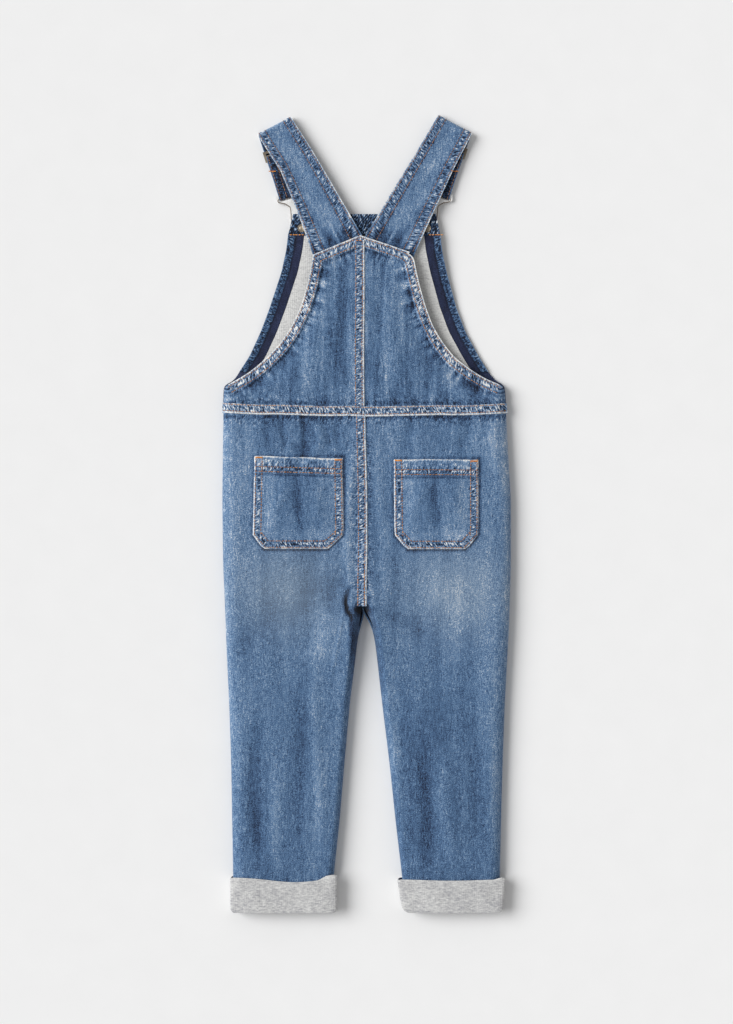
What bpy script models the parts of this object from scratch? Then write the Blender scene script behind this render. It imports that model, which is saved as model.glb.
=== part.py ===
"""Kids dungarees in washed denim, laid face down on a flat surface with the back uppermost.

Points are worked out in millimetres: x across the garment, h up it from the fold of the turn-ups,
and z up from the surface. metres() moves them to the model's frame, whose origin is on the surface
under the middle of the garment. Left and right are the wearer's.
"""

import math
from collections import namedtuple

import bmesh
import bpy
import numpy as np

# Driving dimensions, in millimetres.
LENGTH = 795.5  # from the fold of the turn-ups to the folded shoulder
GAP = 0.3  # between pieces that meet
DENIM = 1.2  # one layer
JERSEY = 1.0
STRAP = 2.0  # two layers of denim
TURN_UP = 1.8  # denim and jersey together

WAIST = 503.0  # where bodice and trousers meet, under the waist seam
UNDERARM = 527.0
CROTCH = 307.0
HEM = 5.0  # lower edge of the leg panels, inside the turn-ups
SEAT_SEAM = -4.4  # x of the join at the centre back of the trousers
BACK_SEAM = -6.8  # x of the join at the centre back of the bodice
BIB_TOP = 699.0

SEAM_SHARE = 0.44  # height of the side seams, as a share of the height of the back
SEAM_RIM = 0.8  # upright stretch of cloth at a side seam
BACK_ROUND = 10.4  # how far in from a seam the back and the front round away
FRONT_ROUND = 6.0
DROOP = 45.0  # how far in from a free armhole edge the back hangs down
CORNER_STEPS = 4  # facets around the corner at a seam
EDGE_STEP = 0.4  # how far a free edge rises and rounds away at its rim
HEM_STEP = 0.6  # slope where a hem, or a row of the back, ends

FELL_HALF = 5.2  # half the width of a felled seam
SEAT_FELL_START = 9.5  # above the crotch
HEM_LAYER = 0.9  # thickness that a felled seam or a turned hem adds
FACING_WIDTH = 16.0
BIB_HEM = 21.5

STRAP_WIDTH = 35.0
STRAP_TOP = 7.0  # middle of the strap's upper run at the shoulder, over that of its lower run
SLIDER = (39.5, 11.0, 1.2)  # across the strap, along it, and thick
SLIDER_RIM = 2.4
METAL_LEVEL = 2.3  # underside of slider and buckle, on the strap's lower run
BUTTON_RADIUS = 8.5
SHANK_RADIUS = 3.0
TACK_RADIUS = 4.5
BIB_LIFT = 4.7  # how high the bib lies over its buttons

# Edges of the legs: the side seam, and the inseam or, above the crotch, the seat seam.
Leg = namedtuple("Leg", "h outer inner")
LEFT_LEG = (
    Leg(HEM, -133.6, -32.6),
    Leg(36, -133.6, -32.8),
    Leg(90, -134.6, -27.0),
    Leg(149, -135.6, -22.0),
    Leg(209, -137.6, -16.6),
    Leg(257, -140.0, -10.6),
    Leg(290, -141.2, -7.0),
    Leg(CROTCH, -141.8, SEAT_SEAM),
    Leg(345, -143.6, SEAT_SEAM),
    Leg(413, -144.5, SEAT_SEAM),
    Leg(WAIST, -143.4, SEAT_SEAM),
)
RIGHT_LEG = (
    Leg(HEM, 133.2, 38.2),
    Leg(36, 133.6, 35.6),
    Leg(90, 134.8, 29.2),
    Leg(149, 136.4, 23.0),
    Leg(209, 138.6, 15.6),
    Leg(257, 141.2, 10.2),
    Leg(290, 143.0, 6.0),
    Leg(CROTCH, 143.4, SEAT_SEAM),
    Leg(345, 144.5, SEAT_SEAM),
    Leg(413, 144.5, SEAT_SEAM),
    Leg(WAIST, 139.6, SEAT_SEAM),
)

# Heights of back and front over the surface, and how fully the sides of the centre seams turn down.
Level = namedtuple("Level", "h back front turn")
LEVELS = (
    Level(HEM, 15.8, 2.1, 1),
    Level(36, 15.8, 2.1, 1),
    Level(62, 14.6, 0, 1),
    Level(149, 14.6, 0, 1),
    Level(257, 15.6, 0, 1),
    Level(CROTCH, 16.4, 0, 1),
    Level(316, 16.3, 0, 0.15),
    Level(345, 16.0, 0, 0),
    Level(413, 15.4, 0, 0),
    Level(WAIST, 13.8, 0, 0),
    Level(600, 13.4, 0, 0),
    Level(675, 14.0, 0, 0),
)

# Turn-ups: x of their sides at the fold and at their upper edge, and how high they reach.
TurnUp = namedtuple("TurnUp", "height fold_outer fold_inner top_outer top_inner")
TURN_UPS = {
    "left": TurnUp(36.0, -136.3, -29.3, -136.5, -29.2),
    "right": TurnUp(34.0, 137.0, 34.6, 139.5, 30.6),
}

# Edge of the back from the waist up the side and round the armhole, its height over the surface,
# and where the same row crosses the middle.
Armhole = namedtuple("Armhole", "h left right z middle")
ARMHOLE = (
    Armhole(WAIST, -143.4, 139.6, 6.0, WAIST),
    Armhole(514, -143.0, 139.0, 6.0, 515),
    Armhole(UNDERARM, -142.2, 137.8, 6.2, 530),
    Armhole(533, -128.5, 119.5, 7.4, 543),
    Armhole(542, -114.5, 105.0, 8.6, 556),
    Armhole(555, -99.3, 88.0, 9.4, 570),
    Armhole(570, -85.3, 76.0, 9.8, 585),
    Armhole(587, -74.2, 66.0, 10.4, 602),
    Armhole(606, -65.6, 59.0, 11.2, 622),
    Armhole(628, -59.0, 52.8, 12.4, 645),
    Armhole(647, -54.8, 48.6, 13.6, 664.6),
    Armhole(657, -53.6, 46.8, 13.9, 675),
)
SEAM_ROWS = 3  # rows of the back and of the bib that end at a side seam, not at an armhole

# The bib: its edges, and how fully they turn up to the back's.
Bib = namedtuple("Bib", "h left right z turn")
BIB = (
    Bib(WAIST, -143.4, 139.6, 6.0, 1),
    Bib(514, -143.0, 139.0, 6.0, 1),
    Bib(UNDERARM, -142.2, 137.8, 6.2, 1),
    Bib(533, -132.5, 128.5, 4.0, 0.6),
    Bib(541, -127.6, 122.2, 2.0, 0.3),
    Bib(557, -117.2, 112.2, 0.0, 0),
    Bib(581, -106.2, 99.2, 0.0, 0),
    Bib(605, -97.2, 90.2, 0.0, 0),
    Bib(641, -85.2, 80.2, 0.0, 0),
    Bib(663, -80.4, 75.6, 0.0, 0),
    Bib(BIB_TOP - BIB_HEM, -78.6, 74.0, 0.0, 0),
    Bib(BIB_TOP, -73.5, 69.5, 0.0, 0),
)
LIFT = ((600, 0.0), (672, BIB_LIFT), (BIB_TOP, BIB_LIFT))  # height of the bib's underside

# Straps: edges of the upper run from under the back to the shoulder, then of the lower run.
Section = namedtuple("Section", "outer_x outer_h inner_x inner_h z")
UPPER_RUNS = {
    "left": (
        Section(-49.5, 651.5, -4.6, 669.5, 11.3),
        Section(-53.5, 657.5, -4.6, 677.5, 11.3),
        Section(-70.5, 704.5, -33.5, 727.3, 9.8),
        Section(-86.4, 742.5, -54.6, 763.0, 8.2),
    ),
    "right": (
        Section(46.0, 652.5, -1.3, 668.5, 11.3),
        Section(48.5, 659.5, -1.3, 676.5, 11.3),
        Section(69.0, 704.5, 29.4, 727.8, 9.8),
        Section(86.6, 742.5, 51.0, 762.8, 8.2),
    ),
}
Shoulder = namedtuple("Shoulder", "outer_x outer_h inner_x inner_h")
SHOULDERS = {
    "left": Shoulder(-107.5, 779.5, -75.5, LENGTH),
    "right": Shoulder(105.0, 779.5, 70.5, LENGTH),
}
Lower = namedtuple("Lower", "outer_x outer_h slope slider_h")
LOWER_RUNS = {  # outer edge at the buckle, lean from upright, and outer end of the slider
    "left": Lower(-87.0, 712.5, math.radians(17.0), 758.5),
    "right": Lower(82.5, 713.5, math.radians(18.2), 762.5),
}
BAR_TURN = 3.8  # how far the strap rises as it turns round the buckle's bar
TURN_STEPS = 7  # rows in each turn of a strap
FLAT_RUN = 20.0  # stretch of the strap that lies flat before the buckle

# Pockets: corners of each, from the lower edge up.
Pocket = namedtuple("Pocket", "h_left left h_right right")
POCKETS = {
    "left": (
        Pocket(363.7, -101.5, 363.5, -38.3),
        Pocket(377.1, -113.6, 377.9, -23.3),
        Pocket(439.0, -112.4, 436.6, -23.5),
        Pocket(456.5, -112.1, 454.1, -23.6),
    ),
    "right": (
        Pocket(364.1, 41.7, 362.5, 98.3),
        Pocket(377.9, 28.3, 376.5, 111.3),
        Pocket(436.0, 27.3, 435.4, 111.9),
        Pocket(453.5, 27.1, 452.9, 112.1),
    ),
}

# Half of the buckle's outline along the strap, from above its bar down to the rounded end.
Buckle = namedtuple("Buckle", "along half")
BUCKLE = (
    Buckle(-6.0, 19.6),
    Buckle(-1.0, 21.0),
    Buckle(0.8, 20.4),
    Buckle(3.5, 13.5),
    Buckle(8.8, 9.2),
    Buckle(14.0, 10.0),
    Buckle(20.0, 11.6),
    Buckle(28.0, 12.8),
    Buckle(36.0, 12.0),
    Buckle(42.0, 7.8),
    Buckle(44.5, 3.0),
)
BUCKLE_BAR = 3.0  # width of the bar that the strap turns round
BUCKLE_SLOT = (18.3, 1.2)  # half width, and its lower edge
BUTTON_ALONG = 33.6  # from the strap's end to the button
BUCKLE_HOLE = (28.6, 9.0, 5.5)  # its middle along the buckle, half its length and half its width

Finish = namedtuple("Finish", "colour roughness metallic")
FINISHES = {
    "denim": Finish((0.150, 0.225, 0.330), 0.85, 0.0),
    "denim_fell": Finish((0.185, 0.260, 0.365), 0.85, 0.0),
    "indigo_facing": Finish((0.045, 0.065, 0.120), 0.85, 0.0),
    "melange_jersey": Finish((0.330, 0.330, 0.345), 0.9, 0.0),
    "nickel": Finish((0.700, 0.690, 0.670), 0.3, 1.0),
    "brass": Finish((0.520, 0.400, 0.220), 0.35, 1.0),
}


def clear_scene():
    for item in list(bpy.data.objects):
        bpy.data.objects.remove(item, do_unlink=True)


def make_materials():
    made = {}
    for name, finish in FINISHES.items():
        material = bpy.data.materials.new(name)
        material.use_nodes = True
        shader = material.node_tree.nodes["Principled BSDF"]
        shader.inputs["Base Color"].default_value = (*finish.colour, 1)
        shader.inputs["Roughness"].default_value = finish.roughness
        shader.inputs["Metallic"].default_value = finish.metallic
        material.diffuse_color = (*finish.colour, 1)
        made[name] = material
    return made


def metres(points):
    return (np.asarray(points, float) - (0.0, LENGTH / 2, 0.0)) / 1000


def add_mesh(name, material, points, faces, smooth=False):
    """An object from points in millimetres, with its faces turned outwards."""
    mesh = bpy.data.meshes.new(name)
    mesh.from_pydata(metres(points).tolist(), [], faces)
    shape = bmesh.new()
    shape.from_mesh(mesh)
    bmesh.ops.recalc_face_normals(shape, faces=shape.faces)
    shape.to_mesh(mesh)
    shape.free()
    if smooth:
        mesh.shade_smooth()
        mesh.set_sharp_from_angle(angle=math.radians(35))
    mesh.materials.append(material)
    item = bpy.data.objects.new(name, mesh)
    bpy.context.scene.collection.objects.link(item)
    return item


def normals_of(grid):
    """Unit normals of a grid whose rows run up the garment and whose columns run towards +x."""
    normals = np.cross(np.gradient(grid, axis=1), np.gradient(grid, axis=0))
    return normals / np.linalg.norm(normals, axis=2, keepdims=True)


def add_wall(name, material, grid, low, high):
    """Cloth between two offsets from a grid of points; high may differ from row to row."""
    rows, columns = grid.shape[:2]
    normals = normals_of(grid)
    high = np.broadcast_to(high, rows)[:, None, None]
    points = np.concatenate([grid + normals * low, grid + normals * high]).reshape(-1, 3)

    def number(layer, row, column):
        return (layer * rows + row) * columns + column

    faces = []
    for row in range(rows - 1):
        for column in range(columns - 1):
            for layer in (0, 1):
                ring = [
                    number(layer, row, column),
                    number(layer, row, column + 1),
                    number(layer, row + 1, column + 1),
                    number(layer, row + 1, column),
                ]
                faces.append(ring if layer else ring[::-1])
    border = [(0, c) for c in range(columns)]
    border += [(r, columns - 1) for r in range(1, rows)]
    border += [(rows - 1, c) for c in range(columns - 2, -1, -1)]
    border += [(r, 0) for r in range(rows - 2, 0, -1)]
    for start, end in zip(border, border[1:] + border[:1]):
        faces.append([number(0, *start), number(0, *end), number(1, *end), number(1, *start)])
    return add_mesh(name, material, points, faces)


def read(grid, rows, columns):
    """Points read off a grid at rows and columns given as fractional numbers."""
    for axis, wanted in ((0, rows), (1, columns)):
        wanted = np.asarray(wanted, float)
        first = np.clip(np.floor(wanted).astype(int), 0, grid.shape[axis] - 2)
        share = (wanted - first).reshape((-1, 1, 1) if axis == 0 else (1, -1, 1))
        grid = np.take(grid, first, axis) * (1 - share) + np.take(grid, first + 1, axis) * share
    return grid


def lookup(table, field, h):
    return float(np.interp(h, [row.h for row in table], [getattr(row, field) for row in table]))


def seam_height(h):
    return SEAM_SHARE * lookup(LEVELS, "back", h)


def corner(width, seam, level, turn=1.0):
    """Distances in from a seam and heights, round the corner from the seam to the panel's level."""
    side = 1 if level > seam else -1
    angles = np.linspace(0, math.pi / 2, CORNER_STEPS + 1)
    rim = seam + side * SEAM_RIM
    away = np.concatenate([[0], width * (1 - np.cos(angles))]) + EDGE_STEP * (1 - turn) * (
        np.arange(CORNER_STEPS + 2) > 0
    )
    height = np.concatenate([[seam + side * GAP / 2], rim + (level - rim) * np.sin(angles)])
    return away, level + turn * (height - level)


def mirrored(grid, side):
    """A left-hand grid as it is, or turned over to the right with its columns still towards +x."""
    return grid if side == "left" else (grid * (-1, 1, 1))[:, ::-1]


def leg_section(side, h, level_field):
    """Points across one leg at h, from its outer seam to its inner one, as if it were the left."""
    table = LEFT_LEG if side == "left" else RIGHT_LEG
    sign = 1 if side == "left" else -1
    outer = sign * lookup(table, "outer", h)
    seat_gap = GAP / 2 if h >= CROTCH else 0.0
    inner = sign * lookup(table, "inner", h) - seat_gap
    level = lookup(LEVELS, level_field, h)
    width = BACK_ROUND if level_field == "back" else FRONT_ROUND
    out_away, out_z = corner(width, seam_height(h), level)
    in_away, in_z = corner(width, seam_height(h), level, lookup(LEVELS, "turn", h))
    middle_x = np.linspace(outer + out_away[-1], inner - in_away[-1], 5)[1:-1]
    x = np.concatenate([outer + out_away, middle_x, (inner - in_away)[::-1]])
    z = np.concatenate([out_z, np.full(3, level), in_z[::-1]])
    return np.stack([x, np.full_like(x, h), z], axis=1)


def leg_heights():
    return sorted({row.h for row in LEFT_LEG} | {r.h for r in LEVELS if HEM <= r.h <= WAIST})


def leg_sheet(side, level_field):
    """One leg's back or front with half of the seat, from inside the turn-up to the waist."""
    top = WAIST - GAP / 2
    heights = [min(h, top) for h in leg_heights()]
    return mirrored(np.array([leg_section(side, h, level_field) for h in heights]), side)


def bodice_sheet(side):
    """Half of the back above the waist, from the side or armhole to the seam in the middle."""
    sign = 1 if side == "left" else -1
    middle = sign * BACK_SEAM - GAP / 2
    edges = np.array([(sign * getattr(row, side), row.h) for row in ARMHOLE])
    tangents = np.gradient(edges, axis=0)
    rows = []
    for i, row in enumerate(ARMHOLE):
        at_seam = i < SEAM_ROWS
        to_middle = np.array([middle - FELL_HALF - edges[i, 0], row.middle - row.h])
        inward = np.array([tangents[i, 1], -tangents[i, 0]])
        if i < SEAM_ROWS - 1 or i == len(ARMHOLE) - 1:
            inward = to_middle
        inward = inward / np.linalg.norm(inward)
        level = lookup(LEVELS, "back", row.middle)
        away, z = corner(BACK_ROUND, row.z, level, 1 if at_seam else 0)
        flat = edges[i] + away[:, None] * inward
        goal = np.array([middle - FELL_HALF, row.middle])
        flat = np.concatenate([flat, np.linspace(flat[-1], goal, 4)[1:], [[middle, row.middle]]])
        z = np.concatenate([z, np.full(4, level)])
        if not at_seam:
            reach = np.clip(np.linalg.norm(flat - flat[0], axis=1) / DROOP, 0, 1)
            z = row.z + (level - row.z) * np.sin(reach * math.pi / 2)
        rows.append(np.column_stack([flat, z]))
    grid = np.array(rows)
    grid[0, :, 1] += GAP / 2
    return mirrored(grid, side)


def bib_sheet():
    """The front above the waist, from one edge to the other; its points are on its underside."""
    rows = []
    for row in BIB:
        level = float(np.interp(row.h, *zip(*LIFT)))
        away, z = corner(FRONT_ROUND, row.z, level, row.turn)
        away = away + EDGE_STEP * (1 - row.turn) * (np.arange(len(away)) > 0)
        left = row.left + away
        right = (row.right - away)[::-1]
        middle = np.linspace(left[-1], right[0], 6)[1:-1]
        x = np.concatenate([left, middle, right])
        heights = np.concatenate([z, np.full(4, level), z[::-1]])
        rows.append(np.stack([x, np.full_like(x, row.h), heights], axis=1))
    grid = np.array(rows)
    grid[0, :, 1] += GAP / 2
    return grid


def top_of_bib(sheet, h, x):
    """A point on the bib's upper side."""
    index = np.interp(h, [row.h for row in BIB], range(len(BIB)))
    line = read(sheet, [index], range(sheet.shape[1]))[0]
    return (x, h, float(np.interp(x, line[:, 0], line[:, 2])) + DENIM)


def strip(sheet, bands):
    """A grid on the bib's upper side: for each height, the x of its columns."""
    return np.array([[top_of_bib(sheet, h, x) for x in columns] for h, columns in bands])


def add_bib(materials):
    sheet = bib_sheet()
    add_wall("front_bib", materials["denim"], sheet, 0, DENIM)

    def edges(h):
        return lookup(BIB, "left", h), lookup(BIB, "right", h)

    heights = [541, 557, 581, 605, 641, 663, BIB_TOP - BIB_HEM - GAP]
    for side, sign in (("left", 1), ("right", -1)):
        bands = []
        for h in heights:
            edge = edges(h)[0 if side == "left" else 1]
            bands.append((h, sorted(edge + sign * FACING_WIDTH * s for s in (0, 0.5, 1))))
        grid = strip(sheet, bands)
        add_wall(f"armhole_facing_{side}", materials["indigo_facing"], grid, GAP, GAP + HEM_LAYER)
    bands = []
    inset = FACING_WIDTH + GAP
    for h in [516, 527, 533] + heights:
        left, right = edges(h)
        bands.append((h, np.linspace(left + inset, right - inset, 5)))
    add_wall("bib_lining", materials["melange_jersey"], strip(sheet, bands), GAP, GAP + JERSEY)
    bands = [(h, np.linspace(*edges(h), 5)) for h in (BIB_TOP - BIB_HEM, BIB_TOP)]
    add_wall("bib_top_hem", materials["denim_fell"], strip(sheet, bands), GAP, GAP + HEM_LAYER)


def add_trousers(materials):
    """Fronts, backs, the felled seat seam and the pockets; returns the backs' sheets."""
    backs = {}
    for side in ("left", "right"):
        backs[side] = leg_sheet(side, "back")
        add_wall(f"back_leg_{side}", materials["denim"], backs[side], -DENIM, 0)
        front = leg_sheet(side, "front")
        add_wall(f"front_leg_{side}", materials["denim"], front, 0, DENIM)
        add_pocket(side, backs[side], materials)
    return backs


def row_number(h):
    return float(np.interp(h, leg_heights(), range(len(leg_heights()))))


def column_number(line, x):
    return float(np.interp(x, line[:, 0], range(len(line))))


def add_seat_fell(backs, materials):
    start = CROTCH + SEAT_FELL_START
    heights = [start] + [h for h in leg_heights() if start < h < WAIST - FELL_HALF]
    heights.append(WAIST - FELL_HALF - GAP)
    last = backs["left"].shape[1] - 1
    rows = []
    for h in heights:
        index = [row_number(h)]
        left = read(backs["left"], index, range(last + 1))[0]
        right = read(backs["right"], index, range(last + 1))[0]
        from_column = column_number(left, SEAT_SEAM - FELL_HALF)
        to_column = column_number(right, SEAT_SEAM + FELL_HALF)
        inside = math.ceil(to_column)
        left_part = read(backs["left"], index, [from_column, *range(last - inside + 1, last + 1)])[0]
        right_part = read(backs["right"], index, [*range(inside), to_column])[0]
        centre = (left_part[-1:] + right_part[:1]) / 2
        rows.append(np.concatenate([left_part[:-1], centre, right_part[1:]]))
    add_wall("seat_fell", materials["denim_fell"], np.array(rows), GAP, GAP + HEM_LAYER)


def add_pocket(side, back, materials):
    """A patch pocket on the seat, thicker where its top is turned in."""
    rows = []
    for corner_row in POCKETS[side]:
        line = []
        for share in (0, 0.5, 1):
            x = corner_row.left + share * (corner_row.right - corner_row.left)
            h = corner_row.h_left + share * (corner_row.h_right - corner_row.h_left)
            line.append((x, h, lookup(LEVELS, "back", h)))
        rows.append(line)
    bag = np.array(rows)
    step = bag[2] + (0, HEM_STEP, 0)
    grid = np.concatenate([bag[:3], [step], bag[3:]])
    heights = np.array([DENIM, DENIM, DENIM, DENIM + HEM_LAYER, DENIM + HEM_LAYER]) + GAP
    add_wall(f"pocket_{side}", materials["denim"], grid, GAP, heights)


def add_bodice(backs, materials):
    """The back above the waist, the felled seams across and up it, and its turned edges."""
    halves = {}
    for side in ("left", "right"):
        halves[side] = bodice_sheet(side)
        add_wall(f"back_bodice_{side}", materials["denim"], halves[side], -DENIM, 0)
        count = halves[side].shape[1]
        rim = range(CORNER_STEPS + 2)
        columns = rim if side == "left" else [count - 1 - c for c in rim][::-1]
        rows = [SEAM_ROWS - 0.2] + list(range(SEAM_ROWS, len(ARMHOLE)))
        edge = read(halves[side], rows, columns)
        add_wall(f"armhole_hem_{side}", materials["denim_fell"], edge, GAP, GAP + HEM_LAYER)
    top = len(ARMHOLE) - 1
    inner = list(range(CORNER_STEPS + 1, halves["left"].shape[1]))
    gap_share = 0.02
    left = read(halves["left"], [top - 1, top], [inner[0] + gap_share] + inner[1:])
    right = read(halves["right"], [top - 1, top], range(len(inner)))
    right[:, -1] = read(halves["right"], [top - 1, top], [len(inner) - 1 - gap_share])[:, 0]
    across = np.concatenate([left[:, :-1], (left[:, -1:] + right[:, :1]) / 2, right[:, 1:]], axis=1)
    add_wall("back_top_hem", materials["denim_fell"], across, GAP, GAP + HEM_LAYER)

    step = (FELL_HALF + 2 * GAP) / (ARMHOLE[1].h - ARMHOLE[0].h)
    rows = [step] + list(range(1, top - 1)) + [top - 1 - 0.02]
    left = read(halves["left"], rows, [halves["left"].shape[1] - 2])
    right = read(halves["right"], rows, [1])
    seam = np.concatenate([left, (left + right) / 2, right], axis=1)
    add_wall("centre_back_fell", materials["denim_fell"], seam, GAP, GAP + HEM_LAYER)

    below = row_number(WAIST - FELL_HALF)
    above = FELL_HALF / (ARMHOLE[1].h - ARMHOLE[0].h)
    rows = []
    for sheets, row in ((backs, below), (backs, row_number(WAIST)), (halves, above)):
        left = sheets["left"]
        right = sheets["right"]
        stations_left = evenly(read(left, [row], range(left.shape[1]))[0], True)
        stations_right = evenly(read(right, [row], range(right.shape[1]))[0], False)
        rows.append(np.concatenate([stations_left, stations_right[1:]]))
    rows[1][:, 1] = WAIST
    add_wall("waist_fell", materials["denim_fell"], np.array(rows), GAP, GAP + HEM_LAYER)


def evenly(line, from_left):
    """A row's points round its outer corner, then three more to the middle."""
    line = line if from_left else line[::-1]
    rim = line[: CORNER_STEPS + 2]
    goal = np.array([SEAT_SEAM, line[-1, 1], rim[-1, 2]])
    whole = np.concatenate([rim, np.linspace(rim[-1], goal, 4)[1:]])
    return whole if from_left else whole[::-1]


def add_turn_up(side, materials):
    """The leg's end folded up outside itself; its section is carried all round the leg."""
    size = TURN_UPS[side]
    sign = 1 if side == "left" else -1
    outside = GAP + TURN_UP
    section = (  # h, distance out from the leg, and whether it is on the flared outer wall
        (size.height, GAP, 1),
        (size.height, outside, 1),
        (size.height / 2, outside, 1),
        (2.0, outside, 1),
        (0.6, outside - 0.6, 1),
        (0.0, outside - 2.0, 0.5),
        (0.6, -DENIM, 0),
        (HEM - GAP, -DENIM, 0),
        (HEM - GAP, 0.0, 0),
        (2.0, 0.0, 0),
        (2.0, GAP, 1),
        (size.height / 2, GAP, 1),
    )
    rings = []
    for h, out, flare in section:
        at = max(h, HEM)
        back = leg_section(side, at, "back")
        front = leg_section(side, at, "front")[::-1]
        ring = np.concatenate([back[1:-1], front[1:-1]])
        following = np.roll(ring, -1, 0) - np.roll(ring, 1, 0)
        normals = np.stack([-following[:, 2], np.zeros(len(ring)), following[:, 0]], axis=1)
        normals /= np.linalg.norm(normals, axis=1, keepdims=True)
        ring = ring + normals * out
        share = h / size.height
        outer = sign * (size.fold_outer + share * (size.top_outer - size.fold_outer))
        inner = sign * (size.fold_inner + share * (size.top_inner - size.fold_inner))
        lowest, highest = ring[:, 0].min(), ring[:, 0].max()
        edge_out = outside - out
        goal = np.interp(ring[:, 0], (lowest, highest), (outer + edge_out, inner - edge_out))
        ring[:, 0] += flare * (goal - ring[:, 0])
        ring[:, 1] = h
        rings.append(ring * (sign, 1, 1))
    points = np.concatenate(rings)
    count = len(rings[0])
    faces = []
    for i in range(len(rings)):
        for j in range(count):
            nxt, beside = (i + 1) % len(rings), (j + 1) % count
            faces.append([i * count + j, i * count + beside, nxt * count + beside, nxt * count + j])
    add_mesh(f"turn_up_{side}", materials["melange_jersey"], points, faces)


def turn_rows(outer, inner, away, start, end):
    """Rows of a ribbon that turns over between two heights, at a fold from outer to inner."""
    rows = []
    radius = abs(end - start) / 2
    for angle in np.linspace(math.pi / 2, -math.pi / 2, TURN_STEPS):
        back = radius * math.cos(angle) - radius - STRAP / 2
        z = (start + end + (start - end) * math.sin(angle)) / 2
        rows.append([(*(point + away * back), z) for point in (outer, inner)])
    return rows


def lower_axes(side):
    """Unit vectors of the strap's lower run: down it, and across it from the outer edge."""
    sign = 1 if side == "left" else -1
    lean = LOWER_RUNS[side].slope
    down = np.array([sign * math.sin(lean), -math.cos(lean)])
    across = np.array([sign * math.cos(lean), math.sin(lean)])
    return down, across


def strap_end(side):
    """The middle of the strap's end, at the buckle."""
    run = LOWER_RUNS[side]
    down, across = lower_axes(side)
    return np.array([run.outer_x, run.outer_h]) + across * STRAP_WIDTH / 2


def add_strap(side, materials):
    """The strap in one length: up over the shoulder, down to the buckle, round its bar and back."""
    sign = 1 if side == "left" else -1
    rows = [[(s.outer_x, s.outer_h, s.z), (s.inner_x, s.inner_h, s.z)] for s in UPPER_RUNS[side]]
    fold = SHOULDERS[side]
    outer, inner = np.array(fold[:2]), np.array(fold[2:])
    along = (inner - outer) / np.linalg.norm(inner - outer)
    away = np.array([-along[1], along[0]]) * sign
    low = STRAP / 2
    rows += turn_rows(outer, inner, away, low + STRAP_TOP, low)
    down, across = lower_axes(side)
    run = LOWER_RUNS[side]
    end_outer = np.array([run.outer_x, run.outer_h])
    end_inner = end_outer + across * STRAP_WIDTH
    flat_outer = end_outer - down * FLAT_RUN
    rows.append([(*flat_outer, low), (*(flat_outer + across * STRAP_WIDTH), low)])
    high = low + BAR_TURN
    rows += turn_rows(end_outer, end_inner, down, low, high)
    slider_outer = end_outer - down * (run.slider_h - run.outer_h)
    rows.append([(*slider_outer, high), (*(slider_outer + across * STRAP_WIDTH), high)])
    grid = np.array(rows)
    middle = grid.mean(axis=1, keepdims=True)
    grid = np.concatenate([grid[:, :1], middle, grid[:, 1:]], axis=1)
    grid = grid if side == "left" else grid[:, ::-1]
    add_wall(f"strap_{side}", materials["denim"], grid, -STRAP / 2, STRAP / 2)


def add_plate(name, material, loops, thickness, centre, down, level):
    """A flat metal plate: its outline, then its holes, in millimetres along and across the strap."""
    curve = bpy.data.curves.new(name, "CURVE")
    curve.dimensions = "2D"
    curve.fill_mode = "BOTH"
    curve.extrude = thickness / 2000
    for loop in loops:
        spline = curve.splines.new("POLY")
        spline.points.add(len(loop) - 1)
        for point, (along, across) in zip(spline.points, loop):
            place = centre + down * along + np.array([-down[1], down[0]]) * across
            point.co = (*metres((*place, 0.0)), 1)
        spline.use_cyclic_u = True
    curve.materials.append(material)
    item = bpy.data.objects.new(name, curve)
    item.location.z = (level + thickness / 2) / 1000
    bpy.context.scene.collection.objects.link(item)
    return item


def rectangle(low, high, half):
    return [(low, -half), (low, half), (high, half), (high, -half)]


def add_hardware(side, materials):
    """Slider, buckle, bib button and the button's tack inside the bib."""
    down, across = lower_axes(side)
    end = strap_end(side)
    run = LOWER_RUNS[side]
    slider_centre = end - down * (run.slider_h - run.outer_h)
    width, depth, thickness = SLIDER
    loops = [rectangle(-depth / 2, depth / 2, width / 2)]
    for start in (-depth / 2 + SLIDER_RIM, SLIDER_RIM / 2):
        end_of_hole = start + depth / 2 - 1.5 * SLIDER_RIM
        loops.append(rectangle(start, end_of_hole, width / 2 - SLIDER_RIM))
    add_plate(f"slider_{side}", materials["brass"], loops, thickness, slider_centre, down, METAL_LEVEL)

    outline = [(b.along, b.half) for b in BUCKLE] + [(b.along, -b.half) for b in BUCKLE[::-1]]
    slot_half, slot_low = BUCKLE_SLOT
    slot = rectangle(BUCKLE[0].along + BUCKLE_BAR, slot_low, slot_half)
    hole_at, half_long, half_wide = BUCKLE_HOLE
    hole = []
    for i in range(16):
        angle = math.tau * i / 16
        hole.append((hole_at + half_long * math.cos(angle), half_wide * math.sin(angle)))
    loops = [outline, slot, hole]
    add_plate(f"buckle_{side}", materials["nickel"], loops, thickness, end, down, METAL_LEVEL)

    button = end + down * BUTTON_ALONG
    head = ((0, 0), (7.6, 0), (BUTTON_RADIUS, 0.7), (8.1, 1.9), (SHANK_RADIUS, 1.9), (SHANK_RADIUS, 4.4), (0, 4.4))
    add_turned(f"bib_button_{side}", materials["nickel"], head, button, 0.0)
    tack = ((0, 0), (TACK_RADIUS, 0), (TACK_RADIUS, 0.5), (3.2, 1.1), (0, 1.2))
    tack_level = BIB_LIFT + DENIM + GAP + HEM_LAYER + GAP
    add_turned(f"button_tack_{side}", materials["brass"], tack, button, tack_level)


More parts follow.
